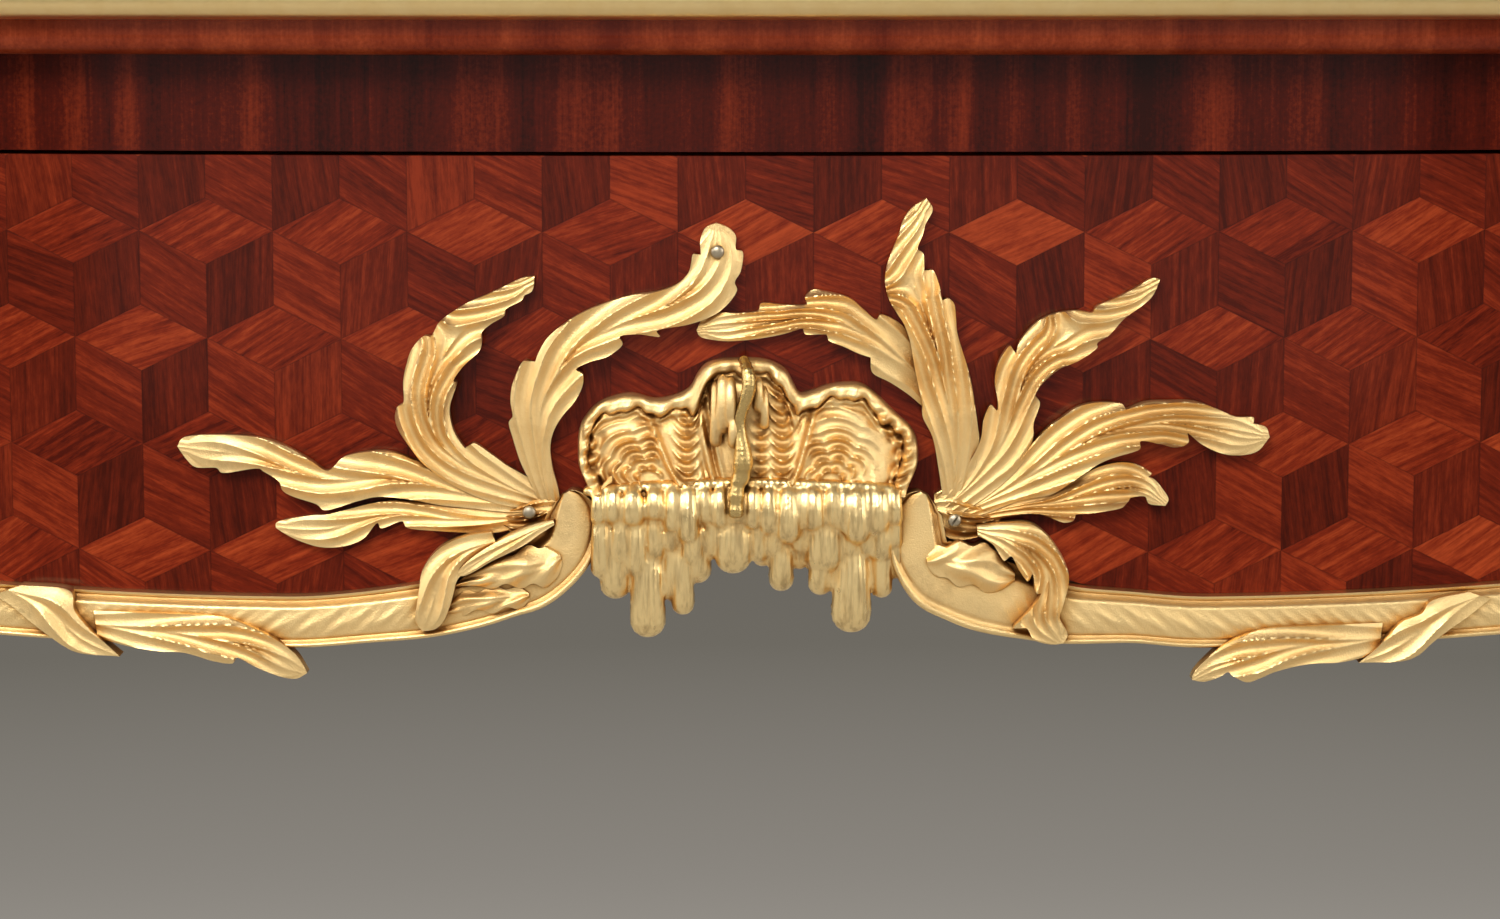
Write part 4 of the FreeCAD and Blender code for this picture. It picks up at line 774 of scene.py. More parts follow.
def leaf_form(line, tips, flutes, rise):
    """A function that gives each point of a leaf: across, down and height, in pixels of the picture."""
    path, length = smooth_line(line, LINE_COUNT)
    tangent = directions(path)
    first_side, second_side = lobe_tips(path, tips)
    rounding = 1 - 1.7 * max(path[-1, 2], 6.0) / length

    def place(t, s):
        side, turned_back = round_section(s)
        reach_first, along_first = lobes_of(t, first_side)
        reach_second, along_second = lobes_of(t, second_side)
        reach = np.where(side < 0, reach_first, reach_second)
        along = np.where(side < 0, along_first, along_second)
        half = at_share(t, path)[2] * reach * LEAF_BREADTH
        half = half * np.sqrt(np.clip(1 - (np.clip(t - rounding, 0, 1) / (1 - rounding)) ** 2, 0, 1))
        at = np.clip(t + LEAN * half * side ** 2 / length * np.clip(3 * (1 - t) - 0.2, 0, 1), 0, 1)
        x, y, _ = at_share(at, path)
        run_x, run_y = at_share(at, tangent)
        out = half * side * (1 - RIM_TUCK * turned_back)
        lobe_lift = LOBE_LIFT * np.abs(side) ** 1.5 * (along - 0.55) * (reach < 0.999)
        height = leaf_height(t, side, half, length, flutes, rise) + lobe_lift
        height = height * (1 - turned_back) - SKIRT / PIXEL * turned_back
        return x - run_y * out, y + run_x * out, height

    return place


def evened(values, reach):
    """Values with their bumps taken out, the two ends left where they are."""
    padded = np.pad(values, reach, mode="reflect", reflect_type="odd")
    return np.convolve(padded, np.ones(2 * reach + 1) / (2 * reach + 1), mode="valid")


def outlined_form(above, below, flutes, rise, twist=0.0, dish=0.12, chase=1.0, crinkle=0.0):
    """The same for a leaf whose two edges are given, root to tip, crinkled as rockwork where asked."""
    first, _ = smooth_line(above, OUTLINE_COUNT)
    second, _ = smooth_line(below, OUTLINE_COUNT)
    shares = np.linspace(0, 1, OUTLINE_COUNT)
    spine = np.column_stack([evened((first + second)[:, axis] / 2, SPINE_EVENING) for axis in (0, 1)])
    halves = np.maximum(evened(np.hypot(*(second - first).T) / 2, BREADTH_EVENING), LEAST_HALF)
    step = np.gradient(spine, axis=0)
    length = np.hypot(*step.T).sum()
    step /= np.hypot(*step.T)[:, None]

    def place(t, s):
        side, turned_back = round_section(s)
        share = (side * (1 - RIM_TUCK * turned_back) + 1) / 2
        start, end = [np.column_stack(at_share(t, edge)) for edge in (first, second)]
        points = start + (end - start) * share[:, None]
        apart = (points ** 2).sum(axis=1)[:, None] - 2 * points @ spine.T + (spine ** 2).sum(axis=1)
        nearest = apart.argmin(axis=1)
        offset = points - spine[nearest]
        ahead = (offset * step[nearest]).sum(axis=1)
        aside = step[nearest, 0] * offset[:, 1] - step[nearest, 1] * offset[:, 0]
        along = np.clip(shares[nearest] + ahead / length, 0, 1)
        half = np.interp(along, shares, halves)
        aside = np.clip(aside / half, -FAR_ASIDE, FAR_ASIDE)
        height = leaf_height(along, aside, half, length, flutes, rise, twist, dish, chase)
        folds = np.sin(length / CRINKLE_RUN * along + 2.2 * np.sin(2.4 * aside + 3.0 * along))
        height = height + crinkle * folds * (1 - 0.5 * aside ** 2)
        return points[:, 0], points[:, 1], height * (1 - turned_back) - SKIRT / PIXEL * turned_back

    return place


def from_picture(x, y):
    """A place in the picture as metres across and up."""
    return (x - PHOTO_MIDDLE) * PIXEL * MM, FRONT_TOP - (y - PHOTO_TOP) * PIXEL * MM


def on_front(place):
    """Bend a shape given in picture pixels and height on to the curved drawer front."""
    def bent(t, s):
        x, y, height = place(t, s)
        x, z = from_picture(x, y)
        return x, front_y(x, DRAWER_PROUD + height * PIXEL * MM), z
    return bent


LEAF_STEPS = ((210, 64))
OUTLINED_STEPS = ((260, 60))


def leaf(name, line, tips, flutes, rise):
    return close_up(shaped_grid(name, *LEAF_STEPS, on_front(leaf_form(line, tips, flutes, rise))))


def outlined_leaf(name, above, below, flutes, rise, steps=OUTLINED_STEPS, **more):
    form = outlined_form(above, below, flutes, rise, **more)
    return close_up(shaped_grid(name, *steps, on_front(form)))


print("leaf tools ready")

# %% [markdown]
# The left spray has four leaves that fan out of one root: two lie low, one rises, hooks over and ends in
# folds twisted like a rope, and one swings across towards the shell and ends in a spoon with a pin.

# %% Left leaf spray
ROPE_TURNS = 8.0
LEFT_ROOT_ABOVE = [(560, 492), (545, 490), (530, 496), (512, 506), (492, 513)]
LEFT_ROOT_BELOW = [(560, 522), (543, 532), (526, 534), (508, 528), (492, 513)]
LOW_LEAF_ABOVE = [
    (556, 505), (541, 502), (509, 491), (471, 480), (441, 467), (418, 458), (396, 450), (375, 449),
    (347, 455), (330, 469), (313, 459), (290, 446), (268, 438), (241, 435), (211, 435), (185, 438),
    (178, 447),
]
LOW_LEAF_BELOW = [
    (556, 514), (541, 510), (509, 510), (471, 506), (441, 503), (411, 497), (381, 495), (358, 500),
    (328, 509), (317, 503), (294, 496), (284, 490), (281, 481), (265, 471), (258, 468), (225, 473),
    (217, 468), (197, 468), (187, 460), (178, 447),
]
UNDER_LEAF_ABOVE = [
    (541, 509), (501, 508), (456, 505), (426, 501), (396, 499), (373, 502), (351, 508), (328, 514),
    (313, 515), (290, 519), (277, 523), (276, 528),
]
UNDER_LEAF_BELOW = [
    (541, 517), (509, 529), (482, 531), (448, 530), (411, 527), (403, 520), (383, 527), (378, 522),
    (364, 538), (343, 546), (321, 547), (300, 541), (285, 534), (276, 528),
]
HOOKED_LEAF_ABOVE = [
    (531, 507), (501, 502), (471, 491), (445, 476), (426, 461), (411, 442), (401, 427), (398, 415),
    (401, 404), (407, 399), (407, 378), (411, 359), (416, 346), (427, 334), (435, 334), (443, 320),
    (456, 310), (471, 301), (490, 293), (509, 284), (524, 277), (537, 275),
]
HOOKED_LEAF_BELOW = [
    (546, 487), (531, 476), (509, 463), (494, 452), (476, 440), (471, 448), (460, 435), (454, 420),
    (453, 403), (460, 381), (457, 377), (467, 363), (482, 349), (485, 338), (485, 330), (494, 322),
    (507, 314), (509, 307), (524, 299), (527, 294), (535, 289), (537, 275),
]
SWINGING_LEAF_ABOVE = [
    (541, 504), (533, 483), (522, 459), (515, 436), (511, 420), (515, 413), (513, 397), (516, 378),
    (526, 358), (535, 364), (541, 350), (550, 335), (565, 322), (584, 310), (606, 301), (633, 293),
    (659, 289), (678, 282), (689, 271), (692, 261), (694, 252), (701, 256), (701, 239), (706, 227),
    (717, 222),
]
SWINGING_LEAF_BELOW = [
    (562, 504), (559, 485), (554, 465), (552, 444), (556, 427), (565, 412), (576, 399), (584, 384),
    (585, 371), (578, 366), (591, 359), (610, 353), (624, 342), (622, 333), (640, 331), (661, 334),
    (659, 327), (689, 322), (712, 314), (727, 303), (737, 289), (735, 280), (741, 269), (743, 251),
    (736, 248), (736, 235), (729, 227), (717, 222),
]
left_spray = joined("leaf_spray_left_chased", [
    outlined_leaf("root", LEFT_ROOT_ABOVE, LEFT_ROOT_BELOW, 5, (2.4, 2.6, 2.6, 2.0)),
    outlined_leaf("low_leaf", LOW_LEAF_ABOVE, LOW_LEAF_BELOW, 3.2, (2.2, 4.0, 4.4, 3.4, 2.6)),
    outlined_leaf("under_leaf", UNDER_LEAF_ABOVE, UNDER_LEAF_BELOW, 3, (2.0, 3.4, 3.2, 2.2)),
    outlined_leaf("hooked_leaf", HOOKED_LEAF_ABOVE, HOOKED_LEAF_BELOW, 5, (2.6, 5.0, 6.2, 5.0, 3.4),
                  twist=ROPE_TURNS),
    outlined_leaf("swinging_leaf", SWINGING_LEAF_ABOVE, SWINGING_LEAF_BELOW, 4.6,
                  (2.6, 5.0, 5.6, 5.0, 4.0, 3.4)),
])
mounted(left_spray, "centre_drawer", "leaf_spray_left")

# %% [markdown]
# The right spray answers it with more leaves: one stands up and curls, one crosses to meet the other
# spray, and three fan out to the right.

# %% Right leaf spray
RIGHT_ROOT_ABOVE = [(933, 492), (945, 487), (962, 494), (985, 506), (1002, 515)]
RIGHT_ROOT_BELOW = [(934, 524), (946, 535), (962, 538), (984, 532), (1002, 515)]
UPRIGHT_LEAF_ABOVE = [
    (941, 492), (937, 466), (931, 435), (921, 414), (920, 400), (916, 381), (912, 362), (908, 339),
    (902, 322), (895, 311), (887, 297), (883, 280), (885, 263), (891, 247), (897, 232), (901, 219),
    (910, 207), (924, 198),
]
UPRIGHT_LEAF_BELOW = [
    (964, 496), (973, 466), (977, 439), (975, 420), (972, 400), (969, 381), (964, 362), (958, 343),
    (954, 328), (953, 316), (951, 301), (944, 296), (941, 303), (936, 282), (930, 268), (922, 274),
    (921, 253), (915, 247), (920, 234), (923, 223), (930, 209), (924, 198),
]
CROSSING_LEAF_ABOVE = [
    (916, 343), (899, 322), (880, 312), (874, 317), (862, 307), (847, 295), (824, 289), (812, 288),
    (804, 295), (806, 302), (786, 303), (762, 301), (757, 309), (736, 311), (717, 311), (704, 316),
    (697, 328),
]
CROSSING_LEAF_BELOW = [
    (923, 406), (908, 393), (889, 380), (872, 371), (870, 361), (878, 358), (858, 351), (843, 344),
    (828, 338), (827, 332), (805, 332), (803, 326), (782, 332), (755, 337), (728, 339), (708, 337),
    (700, 334), (697, 328),
]
LEANING_LEAF_ABOVE = [
    (935, 496), (950, 482), (967, 460), (978, 437), (981, 416), (988, 402), (994, 408), (995, 397),
    (992, 378), (996, 358), (1007, 343), (1011, 355), (1017, 339), (1031, 322), (1050, 312), (1073, 309),
    (1088, 311), (1092, 305), (1107, 299), (1130, 288), (1147, 278), (1156, 279),
]
LEANING_LEAF_BELOW = [
    (954, 515), (985, 494), (1008, 475), (1023, 456), (1030, 437), (1031, 420), (1037, 401), (1032, 391),
    (1042, 378), (1057, 366), (1076, 358), (1093, 347), (1094, 341), (1107, 332), (1122, 316),
    (1138, 305), (1149, 295), (1156, 279),
]
RIGHT_LEAF_ABOVE = [
    (950, 510), (981, 488), (1008, 466), (1027, 443), (1042, 427), (1057, 416), (1075, 404), (1096, 400),
    (1119, 402), (1122, 407), (1142, 400), (1164, 399), (1191, 400), (1214, 408), (1233, 416),
    (1251, 417), (1251, 423), (1264, 427), (1268, 437),
]
RIGHT_LEAF_BELOW = [
    (958, 519), (988, 510), (1019, 498), (1050, 492), (1073, 477), (1096, 462), (1113, 455), (1136, 448),
    (1138, 439), (1157, 442), (1172, 446), (1186, 441), (1184, 431), (1199, 443), (1218, 452),
    (1237, 455), (1256, 451), (1268, 437),
]
LOW_RIGHT_LEAF_ABOVE = [
    (969, 511), (1008, 496), (1042, 494), (1057, 488), (1073, 479), (1092, 467), (1113, 461),
    (1132, 462), (1150, 472), (1140, 474), (1152, 478), (1161, 488), (1167, 498), (1164, 505),
]
LOW_RIGHT_LEAF_BELOW = [
    (966, 524), (996, 517), (1031, 512), (1046, 515), (1062, 521), (1072, 519), (1073, 513), (1096, 511),
    (1121, 506), (1123, 498), (1142, 495), (1148, 503), (1164, 505),
]
right_spray = joined("leaf_spray_right_chased", [
    outlined_leaf("root", RIGHT_ROOT_ABOVE, RIGHT_ROOT_BELOW, 5, (2.4, 2.6, 2.6, 2.0)),
    outlined_leaf("crossing_leaf", CROSSING_LEAF_ABOVE, CROSSING_LEAF_BELOW, 5,
                  (2.6, 4.0, 4.6, 4.0, 3.2, 2.6)),
    outlined_leaf("upright_leaf", UPRIGHT_LEAF_ABOVE, UPRIGHT_LEAF_BELOW, 5, (3.0, 5.6, 6.2, 5.0, 3.4),
                  twist=ROPE_TURNS),
    outlined_leaf("leaning_leaf", LEANING_LEAF_ABOVE, LEANING_LEAF_BELOW, 5, (2.6, 4.6, 5.2, 4.4, 3.0),
                  twist=ROPE_TURNS),
    outlined_leaf("right_leaf", RIGHT_LEAF_ABOVE, RIGHT_LEAF_BELOW, 5, (2.4, 4.2, 5.0, 4.2, 3.0)),
    outlined_leaf("low_right_leaf", LOW_RIGHT_LEAF_ABOVE, LOW_RIGHT_LEAF_BELOW, 5, (2.2, 3.4, 3.8, 3.2)),
])
mounted(right_spray, "centre_drawer", "leaf_spray_right")

# %% [markdown]
# ## The shell
# Between the sprays sits a shell: a dished plate with a rolled, wavy rim, rows of little scallops in its
# two halves and short ribs between. Its outline is drawn as a height over the ledge, and each kind of
# chasing is a small wave added to the dish where the picture shows it.

# %% Shell plate
SHELL_TOP = [
    (578, 470), (580, 430), (588, 412), (604, 398), (631, 391), (655, 396), (675, 393), (690, 385),
    (698, 371), (707, 361), (722, 357), (738, 356), (756, 356), (771, 359), (785, 367), (792, 379),
    (799, 390), (812, 388), (826, 383), (845, 380), (862, 382), (880, 396), (895, 411), (909, 424),
    (916, 440), (918, 470),
]
SHELL_LEDGE = 492
SHELL_TAPER = 0.07
TAPERED = (456, 494)
EDGE_COUNT = 400
OUTLINE_STEP = 6
ROLL = 7.5
LEFT_EYE = (648, 476)
RIGHT_EYE = (832, 478)
LEFT_FIELD = (666, 652)
RIGHT_FIELD = (801, 815)
SMOOTH_CORNER = (874, 848)
SCALLOP_PITCH = 11.0
SCALLOP_LOBES = 4
RIB_PITCH = 12
LEFT_RIBS = (687, 9)
RIGHT_RIBS = (782, 9)
SHORT_RIBS = (761, 6)
SHORT_RIBS_TOP = (402, 412)
RIDGE_TOP = 411
RIDGE_HALF = 3.6
LEFT_RIDGE = (649, 0.4)
RIGHT_RIDGE = (813, -0.28)
PLEATS = (711, 10)
PLEAT_TOP = 400
PLEAT_LEAN = 0.22
PLEAT_PITCH = 12
RUFFLE_PITCH = 15
RIGHT_RUFFLE = (868, 884)
LEFT_RUFFLE = (606, 590)
BACK_START = 0.985
END_SHARE = 0.006
RIM_WAVES = ((1.3, 37, 19), (0.7, 17, 9))
PLATE_HEIGHT = 3.6
PLATE_STEP = 0.9
LEDGE_RISE = 2.8
RIM_GROOVE = (22, 7)
INNER_RIM = 19
INNER_RIM_HALF = 2.6
INNER_RIM_WAVE = 1.4
FIELD_RIM = (14, 20)
FIELD_FOOT = (0.05, 0.12)
RUFFLED = (15, 8)
ROLL_RISE = 1.3
INNER_RIM_RISE = 0.7
LEFT_SCALLOP_RISE = 1.7
RIGHT_SCALLOP_RISE = 1.6
RIB_RISE = 2.0
RIDGE_RISE = 2.0
PLEAT_RISE = 0.9
RUFFLE_RISE = 1.1


def scallops(x, y, eye):
    """Rings of small scallops round an eye, broken along each ring."""
    away = np.hypot(x - eye[0], (y - eye[1]) * 1.1)
    turn = np.arctan2(y - eye[1], x - eye[0])
    scallop = np.abs(np.sin(SCALLOP_LOBES * turn + away * 0.02))
    ring = (away - 4.2 * scallop * np.clip(away / 30, 0, 1)) / SCALLOP_PITCH
    fading = ease(away, 7, 14) * (1 - 0.6 * ease(away, 40, 66))
    return (1 - np.abs(np.sin(np.pi * ring))) * (0.35 + 0.65 * scallop) * fading


def rib_column(x, y, middle, half):
    """Short ribs one above the other, bowed like smiles."""
    bow = 0.05 * (x - middle) ** 2
    return bump(x, middle, half) * (1 - np.abs(np.sin(np.pi * (y + bow) / RIB_PITCH)))


def ridge(x, y, top, lean):
    """A raised line that leans as it goes down."""
    return bump(x, top + (y - RIDGE_TOP) * lean, RIDGE_HALF)


def shell_plate(t, s):
    """Each point of the plate: across and down in pixels, and its height."""
    left, right = SHELL_TOP[0][0], SHELL_TOP[-1][0]
    x = left + t * (right - left)
    rise = np.clip((s + 1) / 2 / BACK_START, 0, 1)
    back = ease((s + 1) / 2, BACK_START, 1.0) + ease(t, END_SHARE, 0.0) + ease(t, 1 - END_SHARE, 1.0)
    outline, _ = smooth_line(SHELL_TOP, EDGE_COUNT)
    before, top, after = [np.interp(x + step, outline[:, 0], outline[:, 1])
                          for step in (-OUTLINE_STEP, 0, OUTLINE_STEP)]
    slope = (after - before) / (2 * OUTLINE_STEP)
    y = SHELL_LEDGE + (top - SHELL_LEDGE) * rise
    inside = np.minimum((y - top) / np.sqrt(1 + slope ** 2), np.minimum(x - left, right - x))
    wave = sum(size * np.sin(2 * np.pi * x / across + y / down) for size, across, down in RIM_WAVES)
    roll_half = ROLL + wave
    roll = np.sqrt(np.clip(1 - ((inside - roll_half) / roll_half) ** 2, 0, 1)) * roll_half * PIXEL
    dish = PLATE_HEIGHT + PLATE_STEP * ease(inside, ROLL, 2 * ROLL) + LEDGE_RISE * (1 - rise) ** 2
    dish = dish - bump(inside, *RIM_GROOVE)
    inner_rim = bump(inside, INNER_RIM + wave * INNER_RIM_WAVE, INNER_RIM_HALF)
    field = ease(inside, *FIELD_RIM) * ease(rise, *FIELD_FOOT)
    left_half = ease(x, *LEFT_FIELD) * field
    right_half = ease(x, *RIGHT_FIELD) * field
    height = dish + ROLL_RISE * roll + INNER_RIM_RISE * inner_rim
    height += LEFT_SCALLOP_RISE * left_half * scallops(x, y, LEFT_EYE)
    fading = 0.3 + 0.7 * ease(x, *SMOOTH_CORNER)
    height += RIGHT_SCALLOP_RISE * right_half * scallops(x, y, RIGHT_EYE) * fading
    columns = rib_column(x, y, *LEFT_RIBS) + rib_column(x, y, *RIGHT_RIBS)
    columns = columns + rib_column(x, y, *SHORT_RIBS) * ease(y, *SHORT_RIBS_TOP)
    height += RIB_RISE * field * columns
    height += RIDGE_RISE * field * (ridge(x, y, *LEFT_RIDGE) + ridge(x, y, *RIGHT_RIDGE))
    pleat = np.cos(2 * np.pi * (x - PLEAT_LEAN * (y - PLEAT_TOP)) / PLEAT_PITCH)
    height += PLEAT_RISE * field * pleat * bump(x, *PLEATS)
    ruffle = np.sin(2 * np.pi * (y + 0.4 * x) / RUFFLE_PITCH)
    ruffled = ease(x, *RIGHT_RUFFLE) + ease(x, *LEFT_RUFFLE)
    height += RUFFLE_RISE * ruffle * bump(inside, *RUFFLED) * ruffled
    height = height * (1 - np.clip(back, 0, 1)) - SKIRT * np.clip(back, 0, 1)
    middle = (left + right) / 2
    x = middle + (x - middle) * (1 - SHELL_TAPER * ease(y, *TAPERED))
    return x, y, height / PIXEL


SHELL_STEPS = ((270, 135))
plate = close_up(shaped_grid("shell_plate", *SHELL_STEPS, on_front(shell_plate)))
print("shell plate:", len(plate.data.polygons), "faces")

# %% [markdown]
# Under the ledge hangs a fringe, like water running off a rock: three tiers of drops of uneven length,
# the upper ones in front. One drop is a ball drawn out into a blunt finger that bulges in its middle.
# The drops are melted together by a voxel remesh, as the founder's wax was.

# %% Dripping fringe
DROP_BULGE = 0.2
MOST_BULGE = 2.6 * MM
DEEPEST_DROP = 13.0
DROP_DEPTH = 0.85
DROP_TIP = 1.15
DROP_NECK = 0.76
DROP_GROWTH = 0.34
DROP_FLUTE = 0.1
FEWEST_FLUTES = 7


def drop(x, top, bottom, half, out):
    """One drop: its place across, top, bottom and half width in pixels, and millimetres out."""
    clear_selection()
    bpy.ops.mesh.primitive_uv_sphere_add(segments=32, ring_count=14, radius=1.0)
    piece = bpy.context.active_object
    points = corners_of(piece)
    middle, high = from_picture(x, top)
    length = (bottom - top) * PIXEL * MM
    radius = half * PIXEL * MM
    share = np.clip((1 - points[:, 2]) / 2, 0, 1)
    tip = min(DROP_TIP * radius / length, 0.5)
    to_end = np.clip((np.maximum(share, 1 - share) - 1 + tip) / tip, 0, 1)
    swell = np.sqrt(1 - to_end ** 2) * radius * (DROP_NECK + DROP_GROWTH * share)
    turn = np.arctan2(points[:, 1], points[:, 0])
    flute = 1 + DROP_FLUTE * np.cos(max(FEWEST_FLUTES, int(half)) * turn + x)
    bulge = 4 * share * (1 - share) * min(DROP_BULGE * length, MOST_BULGE)
    deep = DROP_DEPTH * min(1.0, DEEPEST_DROP / half)
    placed = np.column_stack([
        middle + np.cos(turn) * swell * flute,
        float(front_y(middle, out * MM)) - bulge + np.sin(turn) * swell * deep * flute,
        high - share * length,
    ])
    piece.data.vertices.foreach_set("co", placed.ravel())
    return piece


LONG_DROPS = [
    (616, 505, 598, 15), (648, 505, 637, 17), (672, 505, 600, 9), (683, 505, 614, 11),
    (697, 505, 582, 14), (762, 505, 565, 9), (781, 505, 590, 12), (799, 505, 568, 8),
    (820, 505, 594, 12), (851, 505, 632, 19), (881, 505, 597, 10), (894, 505, 578, 8),
]
MIDDLE_DROPS = [
    (602, 490, 576, 10), (622, 490, 566, 11), (637, 490, 575, 11), (655, 490, 560, 10),
    (672, 490, 552, 9), (693, 490, 566, 11), (712, 490, 556, 9), (733, 490, 571, 18), (758, 490, 560, 9),
    (775, 490, 556, 9), (800, 490, 552, 9), (824, 490, 572, 18), (848, 490, 560, 8), (866, 490, 556, 9),
    (880, 490, 562, 10), (893, 490, 548, 8),
]
TOP_DROPS = [
    (600, 481, 522, 8), (615, 480, 521, 9), (634, 479, 524, 11), (656, 479, 518, 11), (674, 478, 530, 9),
    (689, 478, 541, 10), (705, 478, 521, 8), (721, 478, 526, 9), (737, 478, 522, 10), (752, 478, 527, 9),
    (769, 478, 532, 9), (788, 478, 540, 12), (801, 479, 527, 8), (813, 478, 529, 11), (832, 478, 526, 9),
    (843, 479, 531, 8), (856, 479, 541, 12), (868, 480, 534, 8), (878, 480, 531, 9), (893, 481, 523, 8),
]
TIERS = ((LONG_DROPS, 3.6), (MIDDLE_DROPS, 5.8), (TOP_DROPS, 8.4))
LEDGE = [(592, 486), (640, 482), (700, 479), (750, 477), (800, 479), (860, 481), (900, 486)]
LEDGE_BEADS = 9
BEAD_ABOVE = 6
BEAD_BELOW = 7
BEAD_HALF = 8.5
BEAD_OUT = 7.6
drops = []
for tier, out in TIERS:
    drops += [drop(*place, out) for place in tier]
for (x0, y0), (x1, y1) in zip(LEDGE, LEDGE[1:]):
    for share in np.linspace(0, 1, LEDGE_BEADS, endpoint=False):
        x, y = x0 + (x1 - x0) * share, y0 + (y1 - y0) * share
        drops.append(drop(x, y - BEAD_ABOVE, y + BEAD_BELOW, BEAD_HALF, BEAD_OUT))
fringe = joined("shell_fringe", drops)


def melt(piece, voxel, smoothing):
    """Melt what overlaps into one skin and soften it."""
    pick(piece)
    remesh = piece.modifiers.new("melt", "REMESH")
    remesh.mode = "VOXEL"
    remesh.voxel_size = voxel
    bpy.ops.object.modifier_apply(modifier=remesh.name)
    smooth = piece.modifiers.new("soften", "SMOOTH")
    smooth.iterations = smoothing
    bpy.ops.object.modifier_apply(modifier=smooth.name)
    return close_up(piece)


FINE_VOXEL = 0.56 * MM
FRINGE_VOXEL = FINE_VOXEL * 0.85
melt(fringe, FRINGE_VOXEL, 2)
print("fringe:", len(fringe.data.polygons), "faces")

# %% [markdown]
# A narrow crest stands up the middle of the shell, hooks over at the top and is ringed further down. It
# is a row of small swellings that grow and shrink along a bent line, melted together like the drops,
# with folds beside it.

# %% Crest of the shell
def bead(x, y, wide, tall, out):
    """A small swelling at a place of the picture."""
    return drop(x, y - tall, y + tall, wide, out)


CREST_LINE = [
    (744, 356, 8, 9.5), (748, 366, 9, 12.5), (749, 380, 9.5, 13.5), (745, 396, 9, 13), (740, 412, 8, 12),
    (741, 428, 8, 12), (743, 444, 11, 12.5), (743, 458, 13, 12.5), (741, 470, 10, 11.5),
    (737, 482, 8, 12), (736, 494, 8, 12.2), (736, 507, 7.5, 12.4),
]
CREST_FOLDS = [
    (716, 410, 6, 34, 7.4), (723, 400, 7, 30, 8.8), (731, 396, 7, 24, 10.2), (734, 424, 6, 20, 10.4),
    (758, 390, 6, 18, 9.0), (764, 404, 5, 22, 7.6),
]
CREST_BEADS = 34
CREST_PLAIN = 0.84
RING_SWELL = 0.3
RING_RUN = 0.92
RINGED = (462, 474)
BEAD_TALL = 5.2
CREST_VOXEL = FINE_VOXEL * 0.6
FOLD_VOXEL = FINE_VOXEL * 0.7
crest_path, _ = smooth_line(CREST_LINE, CREST_BEADS)
crest_parts = []
for number, (x, y, wide, out) in enumerate(crest_path):
    swell = CREST_PLAIN + RING_SWELL * abs(math.sin(number * RING_RUN)) * float(ease(y, *RINGED))
    crest_parts.append(bead(x, y, wide * swell, BEAD_TALL, out))
crest = melt(joined("shell_crest", crest_parts), CREST_VOXEL, 20)
folds = melt(joined("shell_folds", [bead(*fold) for fold in CREST_FOLDS]), FOLD_VOXEL, 4)
metals = {plate: gilt_bronze, fringe: dripping_bronze, crest: worn_bronze, folds: gilt_bronze}
for part, metal in metals.items():
    part.data.materials.append(metal)
shell = joined("apron_shell_chased", list(metals))
mounted(shell, "centre_drawer", "apron_shell", finish=None)

# %% [markdown]
# ## The lips
# A bronze lip follows the lower edge of the fronts, the ends and the back. It is one moulding: a thin
# flat fillet against the wood, a groove, a swelling body with slanting veins, and a lower bead. The
# section is carried along the edge, and on the centre front its end widens and curls up into a scroll
# beside the shell.

# %% Lip moulding
LOBE_X = 121.0
LOBE_DROP = 115.0
OUTER_SWEEP = 1288.0
INNER_SWEEP = 156.8
CENTRE_END = 289.0
SCROLL_START = 100.0
LIP_HALF = 6.8
LIP_BACK = 8.6
LIP_LAP = 0.9
LIP_POINTS = 14
LIP_BODY = 3.9
LIP_SWELL = 1.7
LIP_BEAD = 0.9
LIP_STEP = (-0.76, -0.52)
LIP_FALL = (0.1, 0.9)
FALL_SHARE = 0.3
LOWER_BEAD = (0.88, 0.1)
LIP_GROOVES = ((0.45, -0.78, 0.05), (0.4, 0.7, 0.06))
VEINED = (0.05, 0.45)
VEIN_PITCH = 9.0
VEIN_RISE = 0.4
FINE_PITCH = 4.1
FINE_RISE = 0.2
SMOOTH_END = 52.0


def lip_height(run, side, left):
    """How far the lip stands before the wood, by the run along it, the side across and the run left."""
    chased = ease(left, SMOOTH_END * 0.6, SMOOTH_END)
    body = LIP_BODY + LIP_SWELL * ease(side, *LIP_STEP) * (1 - FALL_SHARE * ease(side, *LIP_FALL))
    bead_line = LIP_BEAD * bump(side, *LOWER_BEAD)
    groove = sum(depth * bump(side, middle, half) for depth, middle, half in LIP_GROOVES)
    patch = 0.55 + 0.45 * np.sin(run / 17.0) * np.sin(run / 41.0 + 1.0)
    vein = 1 - np.abs(np.sin(np.pi * (run / VEIN_PITCH + side * 1.4 + 0.25 * np.sin(run / 13.0))))
    fine = 1 - np.abs(np.sin(np.pi * (run / FINE_PITCH + side * 1.9)))
    veins = VEIN_RISE * patch * vein + FINE_RISE * fine
    return body + bead_line - groove + chased * veins * bump(side, *VEINED)


def band_form(line, deep, height):
    """A band along a line of across, down and half width; its rim turns back as far as deep says."""
    path, length = smooth_line(line, EDGE_COUNT)
    tangent = directions(path)

    def place(t, s):
        side, turned_back = round_section(s)
        x, y, half = at_share(t, path)
        run_x, run_y = at_share(t, tangent)
        out = half * side
        lift = height(t * length * PIXEL, side, (1 - t) * length * PIXEL) / PIXEL
        lift = lift * (1 - turned_back) - deep / PIXEL * turned_back
        return x - run_y * out, y + run_x * out, lift

    return place


